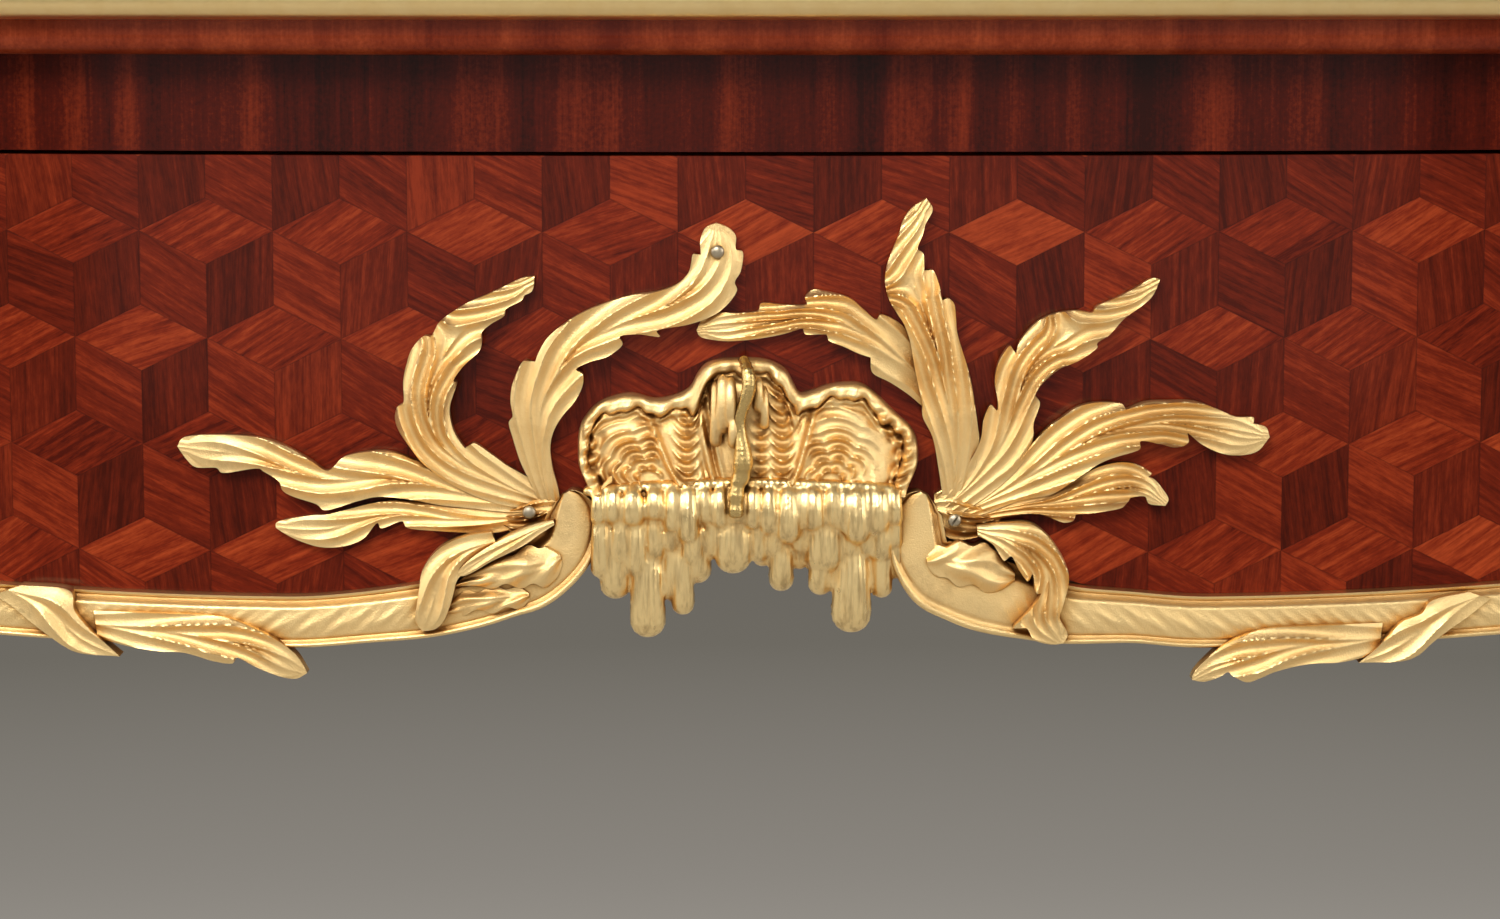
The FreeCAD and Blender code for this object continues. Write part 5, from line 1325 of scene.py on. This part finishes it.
def edge_drop(x):
    """How far below the top of the fronts the centre front's lower edge is, in millimetres."""
    x = abs(x)
    if x >= LOBE_X:
        return LOBE_DROP - (x - LOBE_X) ** 2 / (2 * OUTER_SWEEP)
    return LOBE_DROP - INNER_SWEEP + math.sqrt(INNER_SWEEP ** 2 - (LOBE_X - x) ** 2)


def picture_point(x, drop_down, half):
    """A place on the front, in millimetres, as one in the picture."""
    return (x / PIXEL + PHOTO_MIDDLE, drop_down / PIXEL + PHOTO_TOP, half / PIXEL)


SCROLLS = {
    -1: [(425, 609, 28), (474, 598, 29), (508, 585, 31), (530, 576, 33), (550, 562, 32), (566, 545, 30),
         (573, 525, 30), (574, 508, 26), (571, 495, 16), (568, 489, 6)],
    1: [(1065, 613, 30), (1022, 602, 36), (985, 592, 39), (957, 581, 39), (937, 571, 38), (920, 553, 31),
        (915, 528, 29), (915, 509, 26), (919, 496, 16), (922, 490, 6)],
}
LIP_STEPS = ((520, 44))


def centre_lip(side):
    """The lip under one half of the centre front, with its scroll."""
    ends = np.linspace(CENTRE_END, SCROLL_START, LIP_POINTS)
    line = [picture_point(side * x, edge_drop(x) + LIP_HALF - LIP_LAP, LIP_HALF) for x in ends]
    line += SCROLLS[side]
    form = band_form(line, LIP_BACK, lambda run, across, left: lip_height(run, -side * across, left))
    return close_up(shaped_grid("lip_band", *LIP_STEPS, on_front(form)))


HUSK_STEPS = ((150, 44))
ROCKWORK = {"dish": -0.2, "chase": 0.3, "crinkle": 2.4}
LEFT_HUSKS = [
    ([(92, 612), (131, 612), (181, 613), (222, 615), (246, 622), (273, 635), (294, 651), (303, 664),
      (307, 673)],
     [(96, 640), (123, 647), (156, 652), (185, 654), (214, 662), (232, 664), (237, 657), (259, 668),
      (281, 677), (296, 679), (307, 673)],
     3.6, (5.6, 6.8, 7.2, 6.8, 5.2)),
    ([(20, 587), (68, 590), (74, 610), (88, 628), (107, 647), (118, 658)],
     [(-10, 598), (12, 612), (27, 624), (45, 637), (62, 648), (80, 655), (118, 658)],
     2.4, (6.0, 7.8, 8.2, 6.6)),
    ([(493, 528), (474, 530), (455, 536), (441, 544), (430, 556), (423, 570), (421, 585), (418, 603),
      (417, 618), (424, 628)],
     [(502, 548), (488, 554), (475, 562), (465, 570), (459, 578), (456, 590), (452, 603), (446, 617),
      (437, 626), (424, 628)],
     3.0, (6.4, 8.0, 8.8, 8.6, 7.4)),
    ([(555, 516), (538, 519), (521, 525), (506, 533), (492, 541), (478, 550), (466, 560), (456, 572)],
     [(556, 521), (543, 529), (527, 540), (510, 549), (493, 557), (480, 565), (468, 571), (456, 572)],
     2.6, (6.6, 8.6, 9.2, 8.4)),
]
LEFT_BOSSES = [
    ([(561, 550), (553, 541), (541, 544), (529, 541), (515, 550), (501, 552), (487, 563), (471, 570),
      (454, 584)],
     [(564, 561), (558, 575), (547, 585), (535, 580), (522, 586), (508, 580), (494, 586), (477, 582),
      (454, 584)],
     3.0, (6.2, 7.8, 7.6, 6.6)),
    ([(530, 590), (521, 583), (507, 586), (494, 582), (480, 589), (466, 588), (448, 602)],
     [(531, 597), (521, 607), (508, 604), (494, 611), (478, 607), (464, 614), (448, 611)],
     3.0, (5.8, 6.8, 6.6, 6.0)),
]
RIGHT_HUSKS = [
    ([(1384, 624), (1346, 624), (1301, 625), (1266, 627), (1244, 633), (1223, 643), (1205, 659),
      (1194, 672), (1192, 680)],
     [(1380, 656), (1346, 663), (1309, 665), (1277, 672), (1260, 679), (1247, 683), (1233, 676),
      (1228, 672), (1219, 677), (1205, 682), (1192, 680)],
     3.6, (5.6, 6.8, 7.2, 6.8, 5.2)),
    ([(1470, 594), (1433, 601), (1422, 614), (1402, 622), (1389, 635), (1375, 651), (1360, 664)],
     [(1494, 602), (1470, 620), (1453, 631), (1434, 645), (1420, 657), (1400, 663), (1360, 664)],
     2.4, (6.0, 7.8, 8.2, 6.6)),
    ([(975, 522), (1000, 519), (1028, 519), (1046, 532), (1059, 550), (1066, 568), (1066, 584),
      (1061, 602), (1058, 614), (1066, 630), (1062, 640)],
     [(976, 532), (990, 540), (997, 550), (1002, 557), (1009, 552), (1016, 565), (1025, 577),
      (1030, 570), (1033, 588), (1038, 590), (1027, 606), (1011, 624), (1024, 624), (1032, 636),
      (1048, 641), (1062, 640)],
     5.0, (6.4, 8.4, 9.0, 8.8, 7.8)),
]
RIGHT_BOSSES = [
    ([(925, 550), (933, 541), (945, 543), (957, 537), (971, 542), (984, 539), (998, 551), (1013, 568)],
     [(926, 562), (934, 573), (946, 575), (957, 584), (972, 582), (985, 591), (999, 588), (1013, 578)],
     3.0, (6.0, 7.4, 7.4, 6.6)),
]


def dressed_lip(name, side, husks, bosses):
    """One half of the centre lip with the husks and the crinkled bosses that lie over it."""
    parts = [centre_lip(side)]
    parts += [outlined_leaf("husk", *husk, HUSK_STEPS) for husk in husks]
    parts += [outlined_leaf("boss", *boss, HUSK_STEPS, **ROCKWORK) for boss in bosses]
    mounted(joined(name + "_dressed", parts), "centre_drawer", name)


dressed_lip("centre_lip_left", -1, LEFT_HUSKS, LEFT_BOSSES)
dressed_lip("centre_lip_right", 1, RIGHT_HUSKS, RIGHT_BOSSES)

# %% [markdown]
# ## Knee mounts and shoes
# Each leg has a leaf over its knee and a shoe at its foot. These wrap round a corner of the leg, so
# their points are thrown at the measured leg along the corner's diagonal and stop where they meet it, as
# a mount is bent to the leg that it was cast for.

# %% Leaves on the legs
LEGS = {"leg_front_left": (-1, -1), "leg_front_right": (1, -1),
        "leg_back_left": (-1, 1), "leg_back_right": (1, 1)}
THROW = 0.3


def thrown_on(names):
    """The faces of measured pieces, ready to be hit by rays."""
    points, faces = [], []
    for name in names:
        mesh = frame["nodes"][name].data
        start = len(points)
        points += [vertex.co.copy() for vertex in mesh.vertices]
        faces += [[start + corner for corner in polygon.vertices] for polygon in mesh.polygons]
    return BVHTree.FromPolygons(points, faces)


def on_corner(place, target, corner, side_x, side_y, top):
    """Bend a shape given in picture pixels round the outer corner of a leg."""
    inward = Vector((-side_x, -side_y, 0)).normalized()
    sideways = Vector((-inward.y, inward.x, 0))

    def bent(t, s):
        across, down, height = place(t, s)
        placed = []
        for u, v, h in zip(across, down, height):
            level = top - v * PIXEL * MM
            aside = sideways * float(u * PIXEL * MM)
            start = Vector((corner[0], corner[1], level)) + aside - inward * THROW
            hit = target.ray_cast(start, inward)[0]
            if hit is None:
                hit = start + inward * THROW
            placed.append(hit - inward * float(h * PIXEL * MM))
        return np.array(placed).T
    return bent


def pixels(line):
    """A line in millimetres as a line in picture pixels."""
    return [tuple(value / PIXEL for value in point) for point in line]


CORNER_STEPS = ((130, 54))
KNEE_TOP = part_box("knee_mounts")[1].z
KNEE_LEAF = pixels([(0, 2, 15), (0, 18, 22), (0, 40, 24), (0, 64, 22), (0, 90, 17), (0, 118, 12),
                    (0, 146, 5)])
KNEE_TIPS = pixels([(side * across, down) for across, down in ((20, 36), (22, 66), (17, 94), (11, 120))
                    for side in (1, -1)])
KNEE_RISE = (5.0, 7.5, 7.0, 6.0, 4.5, 3.0)
KNEE_BOSS = pixels([(0, 4, 7), (0, 12, 10), (0, 24, 9), (0, 34, 4)])
BOSS_RISE = (9.0, 11.0, 10.5, 8.0)
KNEE_FORMS = (leaf_form(KNEE_LEAF, KNEE_TIPS, 5, KNEE_RISE), leaf_form(KNEE_BOSS, [], 2, BOSS_RISE))
knee_parts = []
for name, (side_x, side_y) in LEGS.items():
    low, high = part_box(name)
    corner = (high.x if side_x > 0 else low.x, high.y if side_y > 0 else low.y)
    leg = thrown_on([name])
    for form in KNEE_FORMS:
        bent = on_corner(form, leg, corner, side_x, side_y, KNEE_TOP)
        knee_parts.append(close_up(shaped_grid("knee_leaf", *CORNER_STEPS, bent)))
mounted(joined("knee_leaves", knee_parts), "carcase", "knee_mounts")

# %% [markdown]
# The shoe is a sleeve round the square foot. It is thrown at the measured shoe from all round, then
# given a plinth, a bead, folds like those of the leaves and a top edge cut in four tongues, the longest
# at the outer corner.

# %% Shoes
SHOE_STEPS = ((110, 176))
SHOE_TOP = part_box("sabots")[1].z / MM
SHOE_RISE = 72.0
TONGUE = 30.0
RING_NEAR = 2 * MM
FOLD_RUN = 34
FOLD_RISE = 2.2
FOLDED = (14, 26)
FOLD_FADE = (1.0, 0.8)
SHOE_SKIN = 0.6
PLINTH = (7, 5)
PLINTH_RISE = 1.4
SHOE_BEAD = (11, 2)
SHOE_BEAD_RISE = 1.5
TOP_BEAD = (0.95, 0.03)
TOP_BEAD_RISE = 1.4
CLOSING = (0.5, 0.95)
SHOE_CORNERS = np.array([vertex.co for vertex in frame["nodes"]["sabots"].data.vertices])


def shoe_axis(side_x, side_y, level):
    """The middle of one measured shoe near a level."""
    own = SHOE_CORNERS[(SHOE_CORNERS[:, 0] * side_x > 0) & (SHOE_CORNERS[:, 1] * side_y > 0)]
    ring = own[np.abs(own[:, 2] - level) < RING_NEAR]
    return Vector((ring.min(axis=0) + ring.max(axis=0)) / 2)


def shoe_form(shoe, leg, side_x, side_y):
    """A function that gives each point of a shoe, t up it and s round it; its top closes on the leg."""
    foot = shoe_axis(side_x, side_y, 0.0)
    crown = shoe_axis(side_x, side_y, SHOE_TOP * MM)
    corner_turn = math.atan2(side_y, side_x)

    def place(t, s):
        turn = np.pi * s
        away = turn - corner_turn
        tongue = ((np.cos(4 * away) + 1) / 2) ** 2 * (0.55 + 0.45 * np.cos(away))
        level = t * (SHOE_RISE + TONGUE * tongue)
        fold = np.abs(np.arcsin(np.sin(2 * away))) / (np.pi / 2)
        crest = 1 - np.abs(np.sin(np.pi * (1.6 * fold - level / FOLD_RUN)))
        stand = SHOE_SKIN + PLINTH_RISE * ease(level, *PLINTH) + SHOE_BEAD_RISE * bump(level, *SHOE_BEAD)
        stand += TOP_BEAD_RISE * bump(t, *TOP_BEAD)
        stand += FOLD_RISE * crest * ease(level, *FOLDED) * ease(t, *FOLD_FADE)
        closing = ease(t, *CLOSING)
        placed = []
        for angle, up, out, share in zip(turn, level, stand, closing):
            axis = foot.lerp(crown, up / SHOE_TOP)
            axis.z = up * MM
            ray = Vector((math.cos(angle), math.sin(angle), 0.0))
            on_leg = leg.ray_cast(axis + ray * THROW, -ray)[0] or axis
            on_shoe = shoe.ray_cast(axis + ray * THROW, -ray)[0] or on_leg
            placed.append(on_shoe.lerp(on_leg + ray * MM, share) + ray * out * MM)
        return np.array(placed).T

    return place


shoe_parts = []
for name, (side_x, side_y) in LEGS.items():
    form = shoe_form(thrown_on(["sabots"]), thrown_on([name]), side_x, side_y)
    shoe_parts.append(close_up(shaped_grid("shoe", *SHOE_STEPS, form)))
mounted(joined("shoes", shoe_parts), "carcase", "sabots")

# %% [markdown]
# ## The other lips
# The lip runs on under the side drawers, the ends and the back. Its line is read from the measured lip,
# and its section is the one of the centre front, without scrolls. A leaf lies over the outer end of each
# drawer's lip.

# %% Lips of the other edges
PLAIN_STEPS = ((320, 40))
SIDE_FACE = abs(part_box("side_apron_right")[1].x)
BACK_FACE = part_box("back_apron")[1].y
NO_END = 1000.0
LIP_LEAF = ((520, 3), (545, 5), (572, 5.4), (597, 4), (615, 1.6))
LIP_LEAF_DROP = 1.0
LIP_LEAF_RISE = (5.5, 7.6, 7.8, 7.0, 5.6)


def lip_line(name, axis):
    """The places along a measured lip and the height of its middle at each."""
    levels = {}
    for vertex in frame["nodes"][name].data.vertices:
        key = (round(vertex.co.x, 4), round(vertex.co.y, 4))
        levels.setdefault(key, []).append(vertex.co.z)
    rows = sorted((key[axis], (min(heights) + max(heights)) / 2) for key, heights in levels.items())
    return np.array(rows).T


def edge_lip(name, axis, face, lean):
    """A lip along one axis; face(run, out) is how far out the wood is, and lean the way its veins lie."""
    runs, middles = lip_line(name, axis)

    def place(t, s):
        side, turned_back = round_section(s)
        run = runs[0] + t * (runs[-1] - runs[0])
        lift = lip_height(lean * run / MM, side, NO_END) * (1 - turned_back) - LIP_BACK * turned_back
        level = np.interp(run, runs, middles) - side * LIP_HALF * MM
        out = face(run, lift * MM)
        return (run, out, level) if axis == 0 else (out, run, level)

    return close_up(shaped_grid("lip_band", *PLAIN_STEPS, place))


def drawer_face(x, out):
    return front_y(x, DRAWER_PROUD + out)


for side, sign in (("left", -1), ("right", 1)):
    node = side + "_drawer_lip"
    runs, middles = lip_line(node, 0)
    line = []
    for reach, half in LIP_LEAF:
        level = np.interp(sign * reach * MM, runs, middles)
        line.append(picture_point(sign * reach, (FRONT_TOP - level) / MM + LIP_LEAF_DROP, half))
    lobes = ((line[2], sign * 20), (line[3], 18), (line[2], -20))
    tips = [(x, y + aside) for (x, y, half), aside in lobes]
    cover = leaf("lip_leaf", line, tips, 4, LIP_LEAF_RISE)
    piece = joined(node + "_moulded", [edge_lip(node, 0, drawer_face, sign), cover])
    mounted(piece, side + "_drawer", node)
    node = "side_lip_" + side
    piece = edge_lip(node, 1, lambda y, out: sign * (SIDE_FACE + out), 1)
    piece.name = node + "_moulded"
    mounted(piece, "carcase", node)
piece = edge_lip("back_lip", 0, lambda x, out: BACK_FACE + out, 1)
piece.name = "back_lip_moulded"
mounted(piece, "carcase", "back_lip")

# %% [markdown]
# ## Trims of the cheeks
# The curved edge of each cheek is covered by a drawn brass strip with a bead along either side and a low
# swell between. Its section is carried round the cylinder's axis.

# %% Trims of the cheeks
TRIM_LOW, TRIM_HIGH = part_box("cheek_trims")
TRIM_RADIUS = AXIS_Y - TRIM_LOW.y
CHEEK_LOW, CHEEK_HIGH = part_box("cheek_right")
TRIM_MIDDLE = (CHEEK_LOW.x + CHEEK_HIGH.x) / 2
TRIM_HALF = (CHEEK_HIGH.x - CHEEK_LOW.x) / 2
TRIM_BACK = 5.0
TRIM_BEAD = 1.7
TRIM_BEAD_PLACE = (0.78, 0.13)
TRIM_SWELL = 0.9
TRIM_SWELL_PLACE = (0, 0.3)
TRIM_END = math.radians(78)
TRIM_STEPS = ((200, 64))


def cheek_trim(side):
    """The strip round the edge of one cheek."""
    start = math.asin((TRIM_LOW.z - AXIS_Z) / TRIM_RADIUS)

    def place(t, s):
        across, turned_back = round_section(s)
        turn = start + t * (TRIM_END - start)
        relief = TRIM_BEAD * bump(np.abs(across), *TRIM_BEAD_PLACE)
        relief = relief + TRIM_SWELL * bump(across, *TRIM_SWELL_PLACE)
        radius = TRIM_RADIUS + (relief * (1 - turned_back) - TRIM_BACK * turned_back) * MM
        level = np.clip(AXIS_Z + radius * np.sin(turn), TRIM_LOW.z, TRIM_HIGH.z)
        return side * (TRIM_MIDDLE + across * TRIM_HALF), AXIS_Y - radius * np.cos(turn), level

    return close_up(shaped_grid("cheek_trim", *TRIM_STEPS, place))


trims = joined("cheek_trims_moulded", [cheek_trim(-1), cheek_trim(1)])
mounted(trims, "carcase", "cheek_trims", slot="brass_trim", finish=brass_trim)

# %% [markdown]
# ## Turned knobs
# The cylinder, the slide and the small drawers have turned knobs: a foot, a waist and a ball with a
# button. One outline is carried round each knob's axis.

# %% Turned knobs
KNOB = [
    (0.0, 0.84), (0.07, 0.9), (0.13, 0.84), (0.17, 0.6), (0.28, 0.42), (0.42, 0.4), (0.5, 0.62),
    (0.55, 0.66), (0.6, 0.8), (0.72, 0.98), (0.82, 0.96), (0.9, 0.74), (0.93, 0.42), (0.96, 0.3),
    (0.99, 0.2), (1.0, 0.04),
]
KNOB_COUNT = 160
FORWARD = (0, -1, 0)
HANDLE_SLACK = 0.6 * MM
HANDLE_SHORT = 1.5 * MM
HANDLE_SUNK = 0.5 * MM
KNOB_STEPS = ((110, 48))


def turned(name, root, direction, length, radius):
    """A knob that stands at a root along a direction."""
    outline, _ = smooth_line([(share * length, reach * radius) for share, reach in KNOB], KNOB_COUNT)
    along = Vector(direction).normalized()
    first = along.orthogonal().normalized()
    second = along.cross(first)

    def place(t, s):
        far, reach = at_share(t, outline)
        one, two = reach * np.cos(np.pi * s), reach * np.sin(np.pi * s)
        return [root[axis] + along[axis] * far + first[axis] * one + second[axis] * two
                for axis in range(3)]

    return close_up(shaped_grid(name, *KNOB_STEPS, place))


low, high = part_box("cylinder_handles")
middle = (low + high) / 2
outward = Vector((0.0, middle.y - AXIS_Y, middle.z - AXIS_Z)).normalized()
handle_radius = (high.z - low.z) / 2 - HANDLE_SLACK
handle_length = (AXIS_Y - low.y) / -outward.y - WALL_RADIUS - HANDLE_SHORT
handles = []
for side in (-1, 1):
    centre = Vector((side * (high.x - handle_radius), AXIS_Y, AXIS_Z))
    root = centre + outward * (WALL_RADIUS - HANDLE_SUNK)
    handles.append(turned("handle", root, outward, handle_length, handle_radius))
mounted(joined("cylinder_handles_turned", handles), "cylinder", "cylinder_handles")
low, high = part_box("slide_knobs")
knob_radius = (high.z - low.z) / 2
knobs = []
for side in (-1, 1):
    root = (side * (high.x - knob_radius), high.y, (low.z + high.z) / 2)
    knobs.append(turned("slide_knob", root, FORWARD, high.y - low.y, knob_radius))
mounted(joined("slide_knobs_turned", knobs), "writing_slide", "slide_knobs")
for bay in ("left", "centre", "right"):
    node = "small_knob_" + bay
    low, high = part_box(node)
    root = ((low.x + high.x) / 2, high.y, (low.z + high.z) / 2)
    knob = turned(node + "_turned", root, FORWARD, high.y - low.y, (high.z - low.z) / 2)
    mounted(knob, bay + "_inner_drawer", node)

# %% [markdown]
# ## Pulls of the side drawers
# Each pull is a bail between two leafy plates. The bail is a bar along a bent line, thick and twisted in
# the middle, and the plates are small sprays of the same leaf as on the centre front. A plate's leaves
# are given from its post: outwards and down, with half widths, in the picture's pixels.

# %% Drawer pulls
PULL_POST = 42.0
PLATE_LEAVES = (
    ([(-25, -4, 16), (0, 0, 26), (40, -16, 24), (72, -44, 12), (84, -66, 6)],
     [(20, 22), (60, -8)], 4, (3.0, 4.0, 3.6, 2.4)),
    ([(0, 6, 14), (10, 34, 20), (4, 62, 14), (-14, 84, 6)],
     [(22, 44), (-16, 48)], 4, (3.0, 3.8, 3.0, 2.0)),
    ([(0, -4, 12), (-14, -30, 16), (-34, -44, 11), (-52, -40, 6)],
     [(-6, -44)], 3, (3.0, 3.6, 3.0, 2.0)),
)
POST_RADIUS = 5.2 * MM
POST_WAIST = 1.6 * MM
POST_HEAD = 1.2 * MM
POST_HEAD_START = 0.8
POST_ENDS = 4 * MM
POST_DROOP = 1 * MM
POST_STEPS = (24, 20)
BAIL_RADIUS = 2.6 * MM
BAIL_SWELL = 1.9 * MM
BAIL_SWELL_PLACE = (0.5, 0.22)
BAIL_LINE = ((0.0, 5.0, 0.0), (0.14, 4.8, 12.0), (0.5, 4.6, 18.0), (0.86, 4.8, 12.0), (1.0, 5.0, 0.0))
BAIL_STEPS = (160, 36)
BAIL_TWIST = 40.0
BAIL_STRANDS = 6
STRAND_DEPTH = 0.12
BAR_COUNT = 200
BAR_MERGE = 1e-5


def bar(name, points, radius, steps, twist=0.0):
    """A round bar along points of across, out and up; radius(t) may swell and the skin may twist."""
    path, _ = smooth_line([(x, z, y) for x, y, z in points], BAR_COUNT)
    path = path[:, [0, 2, 1]]
    tangent = np.gradient(path, axis=0)
    tangent /= np.linalg.norm(tangent, axis=1)[:, None]
    first = np.cross(tangent, (0.0, 0.0, 1.0)) + np.array((0, 1e-6, 0))
    first /= np.linalg.norm(first, axis=1)[:, None]
    second = np.cross(tangent, first)

    def place(t, s):
        turn = np.pi * s
        reach = radius(t) * (1 + STRAND_DEPTH * np.cos(BAIL_STRANDS * turn + twist * t) * (twist != 0))
        spot, one, two = [at_share(t, rows) for rows in (path, first, second)]
        return [p + reach * (np.cos(turn) * a + np.sin(turn) * b) for p, a, b in zip(spot, one, two)]

    return close_up(shaped_grid(name, *steps, place), merge=BAR_MERGE)


def post_radius(t):
    return POST_RADIUS - POST_WAIST * np.sin(np.pi * t) + POST_HEAD * (t > POST_HEAD_START)


def bail_radius(t):
    return BAIL_RADIUS + BAIL_SWELL * bump(t, *BAIL_SWELL_PLACE)


def pull(name):
    """A pull made over the measured one."""
    low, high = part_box(name)
    middle = (low.x + high.x) / 2
    level = (low.z + high.z) / 2
    centre, y, _ = picture_point(middle / MM, (FRONT_TOP - level) / MM, 0.0)
    parts = []
    for end in (-1, 1):
        x = centre + end * PULL_POST / PIXEL
        for line, tips, flutes, rise in PLATE_LEAVES:
            placed = [(x + end * out, y + down, half) for out, down, half in line]
            lobes = [(x + end * out, y + down) for out, down in tips]
            parts.append(leaf("plate_leaf", placed, lobes, flutes, rise))
        post_x = middle + end * PULL_POST * MM
        root = float(front_y(post_x, DRAWER_PROUD))
        tip = low.y + POST_ENDS
        post = [(post_x, root + POST_ENDS, level), (post_x, (root + tip) / 2, level),
                (post_x, tip, level - POST_DROOP)]
        parts.append(bar("post", post, post_radius, POST_STEPS))
    first, last = middle - PULL_POST * MM, middle + PULL_POST * MM
    bail = [(first * (1 - share) + last * share, low.y + out * MM, level - sag * MM)
            for share, out, sag in BAIL_LINE]
    parts.append(bar("bail", bail, bail_radius, BAIL_STEPS, BAIL_TWIST))
    return joined(name + "_chased", parts)


for side in ("left", "right"):
    node = side + "_drawer_pull"
    mounted(pull(node), side + "_drawer", node)

# %% [markdown]
# ## Pins
# The sprays are held by small domed pins, one of them with a slot for a screwdriver. Each is a low dome
# with its foot in the bronze.

# %% Mount pins
PINS = [(718, 250, 5.4, False), (531, 509, 6.0, False), (953, 517, 5.6, True)]
PIN_RADIUS = 1.75 * MM
PIN_FLATNESS = 0.55
PIN_ANGLE = math.radians(40)
SLOT = (0.5 * MM, 1.6 * MM, 6 * MM)
SLOT_TURN = math.radians(35)


def pin(x, y, out, slotted):
    """A domed pin head standing out from the drawer front."""
    clear_selection()
    bpy.ops.mesh.primitive_uv_sphere_add(segments=28, ring_count=16, radius=PIN_RADIUS)
    head = bpy.context.active_object
    across, up = from_picture(x, y)
    if slotted:
        bpy.ops.mesh.primitive_cube_add(size=1.0, location=(0, -PIN_RADIUS, 0))
        cutter = bpy.context.active_object
        cutter.scale = SLOT
        cutter.rotation_euler = (0, SLOT_TURN, 0)
        cut = head.modifiers.new("slot", "BOOLEAN")
        cut.object = cutter
        cut.solver = "MANIFOLD"
        pick(head)
        bpy.ops.object.modifier_apply(modifier=cut.name)
        bpy.data.objects.remove(cutter)
    head.scale = (1.0, PIN_FLATNESS, 1.0)
    head.location = (across, float(front_y(across, DRAWER_PROUD + out * MM)), up)
    pick(head)
    bpy.ops.object.transform_apply(location=True, rotation=True, scale=True)
    bpy.ops.object.shade_smooth_by_angle(angle=PIN_ANGLE)
    return head


pins = joined("mount_pins", [pin(*place) for place in PINS])
mounted(pins, "centre_drawer", finish=pin_metal)

# %% [markdown]
# ## The studio
# A pale floor whose far part glows grey, painted darker with distance as a painted fall-off of the
# light, and large soft lamps: one high in front, a faint one straight before the desk, a broad fill on
# each side and one behind. The view is the close one of the apron, from a little above, with a long lens.

# %% Floor, lamps and camera
LAMP_TINT = (1.0, 0.97, 0.93)
LAMPS = (
    ("key_lamp", (-0.9, -2.7, 2.6), (0.0, -0.2, 0.65), (2.0, 1.2), 82.0),
    ("front_lamp", (0.0, -4.2, 1.3), (0.0, -0.3, 0.65), (3.4, 2.2), 15.0),
    ("fill_lamp", (3.2, -2.0, 1.8), (0.0, 0.0, 0.6), (2.6, 2.4), 58.0),
    ("left_lamp", (-3.4, -1.2, 1.8), (0.0, 0.0, 0.6), (2.6, 2.4), 50.0),
    ("back_lamp", (0.6, 3.2, 2.6), (0.0, 0.2, 0.7), (3.0, 2.2), 84.0),
)


def lamp(name, place, aim, size, watts):
    """A soft lamp at a place, turned towards its aim."""
    data = bpy.data.lights.new(name, "AREA")
    data.shape = "RECTANGLE"
    data.size, data.size_y = size
    data.energy = watts
    data.color = LAMP_TINT
    made = bpy.data.objects.new(name, data)
    bpy.context.collection.objects.link(made)
    made.location = place
    made.rotation_euler = (Vector(aim) - Vector(place)).to_track_quat("-Z", "Y").to_euler()


BACKDROP = shade(106, 102, 95)
BACKDROP_FAR = 5.0
BEHIND = (0.7, 2.2)
DISTANT = (2.0, 6.0)


def studio_paper_and_painted_glow():
    """Pale paper by the desk that passes, behind it and far off, into a glowing grey, painted darker
    with distance as a painted fall-off of the light.
    """
    finish = Finish("studio_paper_and_painted_glow", Roughness=0.85, Specular_IOR_Level=0.1)
    x, y, z = finish.place()
    away = finish.sum("SQRT", x * x + y * y)
    cloud = finish.noise(finish.vector(x, y, z), 2.0)
    paper = finish.mix(cloud * 0.1, shade(190, 187, 182), shade(168, 165, 159))
    # painted fall-off of light: the glowing grey darkens with distance from the desk
    far = finish.ramp(away / BACKDROP_FAR, (0.36, shade(142, 137, 130)), (0.64, shade(110, 106, 98)),
                      (0.8, BACKDROP))
    glow = finish.tree.nodes.new("ShaderNodeEmission")
    finish.put(far, glow.inputs["Color"])
    blend = finish.tree.nodes.new("ShaderNodeMixShader")
    # behind the desk and far off, the floor turns into that painted glow
    behind, distant = [
        finish.node("ShaderNodeMapRange", value, *reach, 0.0, 1.0, interpolation_type="SMOOTHERSTEP")
        for value, reach in ((y, BEHIND), (away, DISTANT))
    ]
    finish.put(behind.most(distant), blend.inputs[0])
    finish.tree.links.new(finish.shader.outputs[0], blend.inputs[1])
    finish.tree.links.new(glow.outputs[0], blend.inputs[2])
    finish.tree.links.new(blend.outputs[0], finish.tree.nodes["Material Output"].inputs["Surface"])
    return finish.wear(Base_Color=paper)


FLOOR_HALF = 12.0
clear_selection()
bpy.ops.mesh.primitive_plane_add(size=2 * FLOOR_HALF)
floor = bpy.context.active_object
floor.name = "studio_floor"
floor.data.materials.append(studio_paper_and_painted_glow())

for setting in LAMPS:
    lamp(*setting)
world = bpy.data.worlds.new("studio_air")
world.use_nodes = True
world.node_tree.nodes["Background"].inputs["Color"].default_value = BACKDROP
bpy.context.scene.world = world

VIEW_AIM = Vector((0.5 * MM, FACE_Y, FRONT_TOP - 78.6 * MM))
VIEW_RISE = math.radians(7.0)
VIEW_DISTANCE = 1.08
VIEW_LENS = 100.0
VIEW_SENSOR = 36.0
camera_data = bpy.data.cameras.new("photo_view")
camera_data.lens = VIEW_LENS
camera_data.sensor_width = VIEW_SENSOR
camera = bpy.data.objects.new("photo_view", camera_data)
bpy.context.collection.objects.link(camera)
camera.location = VIEW_AIM + VIEW_DISTANCE * Vector((0.0, -math.cos(VIEW_RISE), math.sin(VIEW_RISE)))
camera.rotation_euler = (VIEW_AIM - camera.location).to_track_quat("-Z", "Y").to_euler()
bpy.context.scene.camera = camera
bpy.context.scene.view_settings.view_transform = "Standard"
print("camera at", [round(value, 3) for value in camera.location])
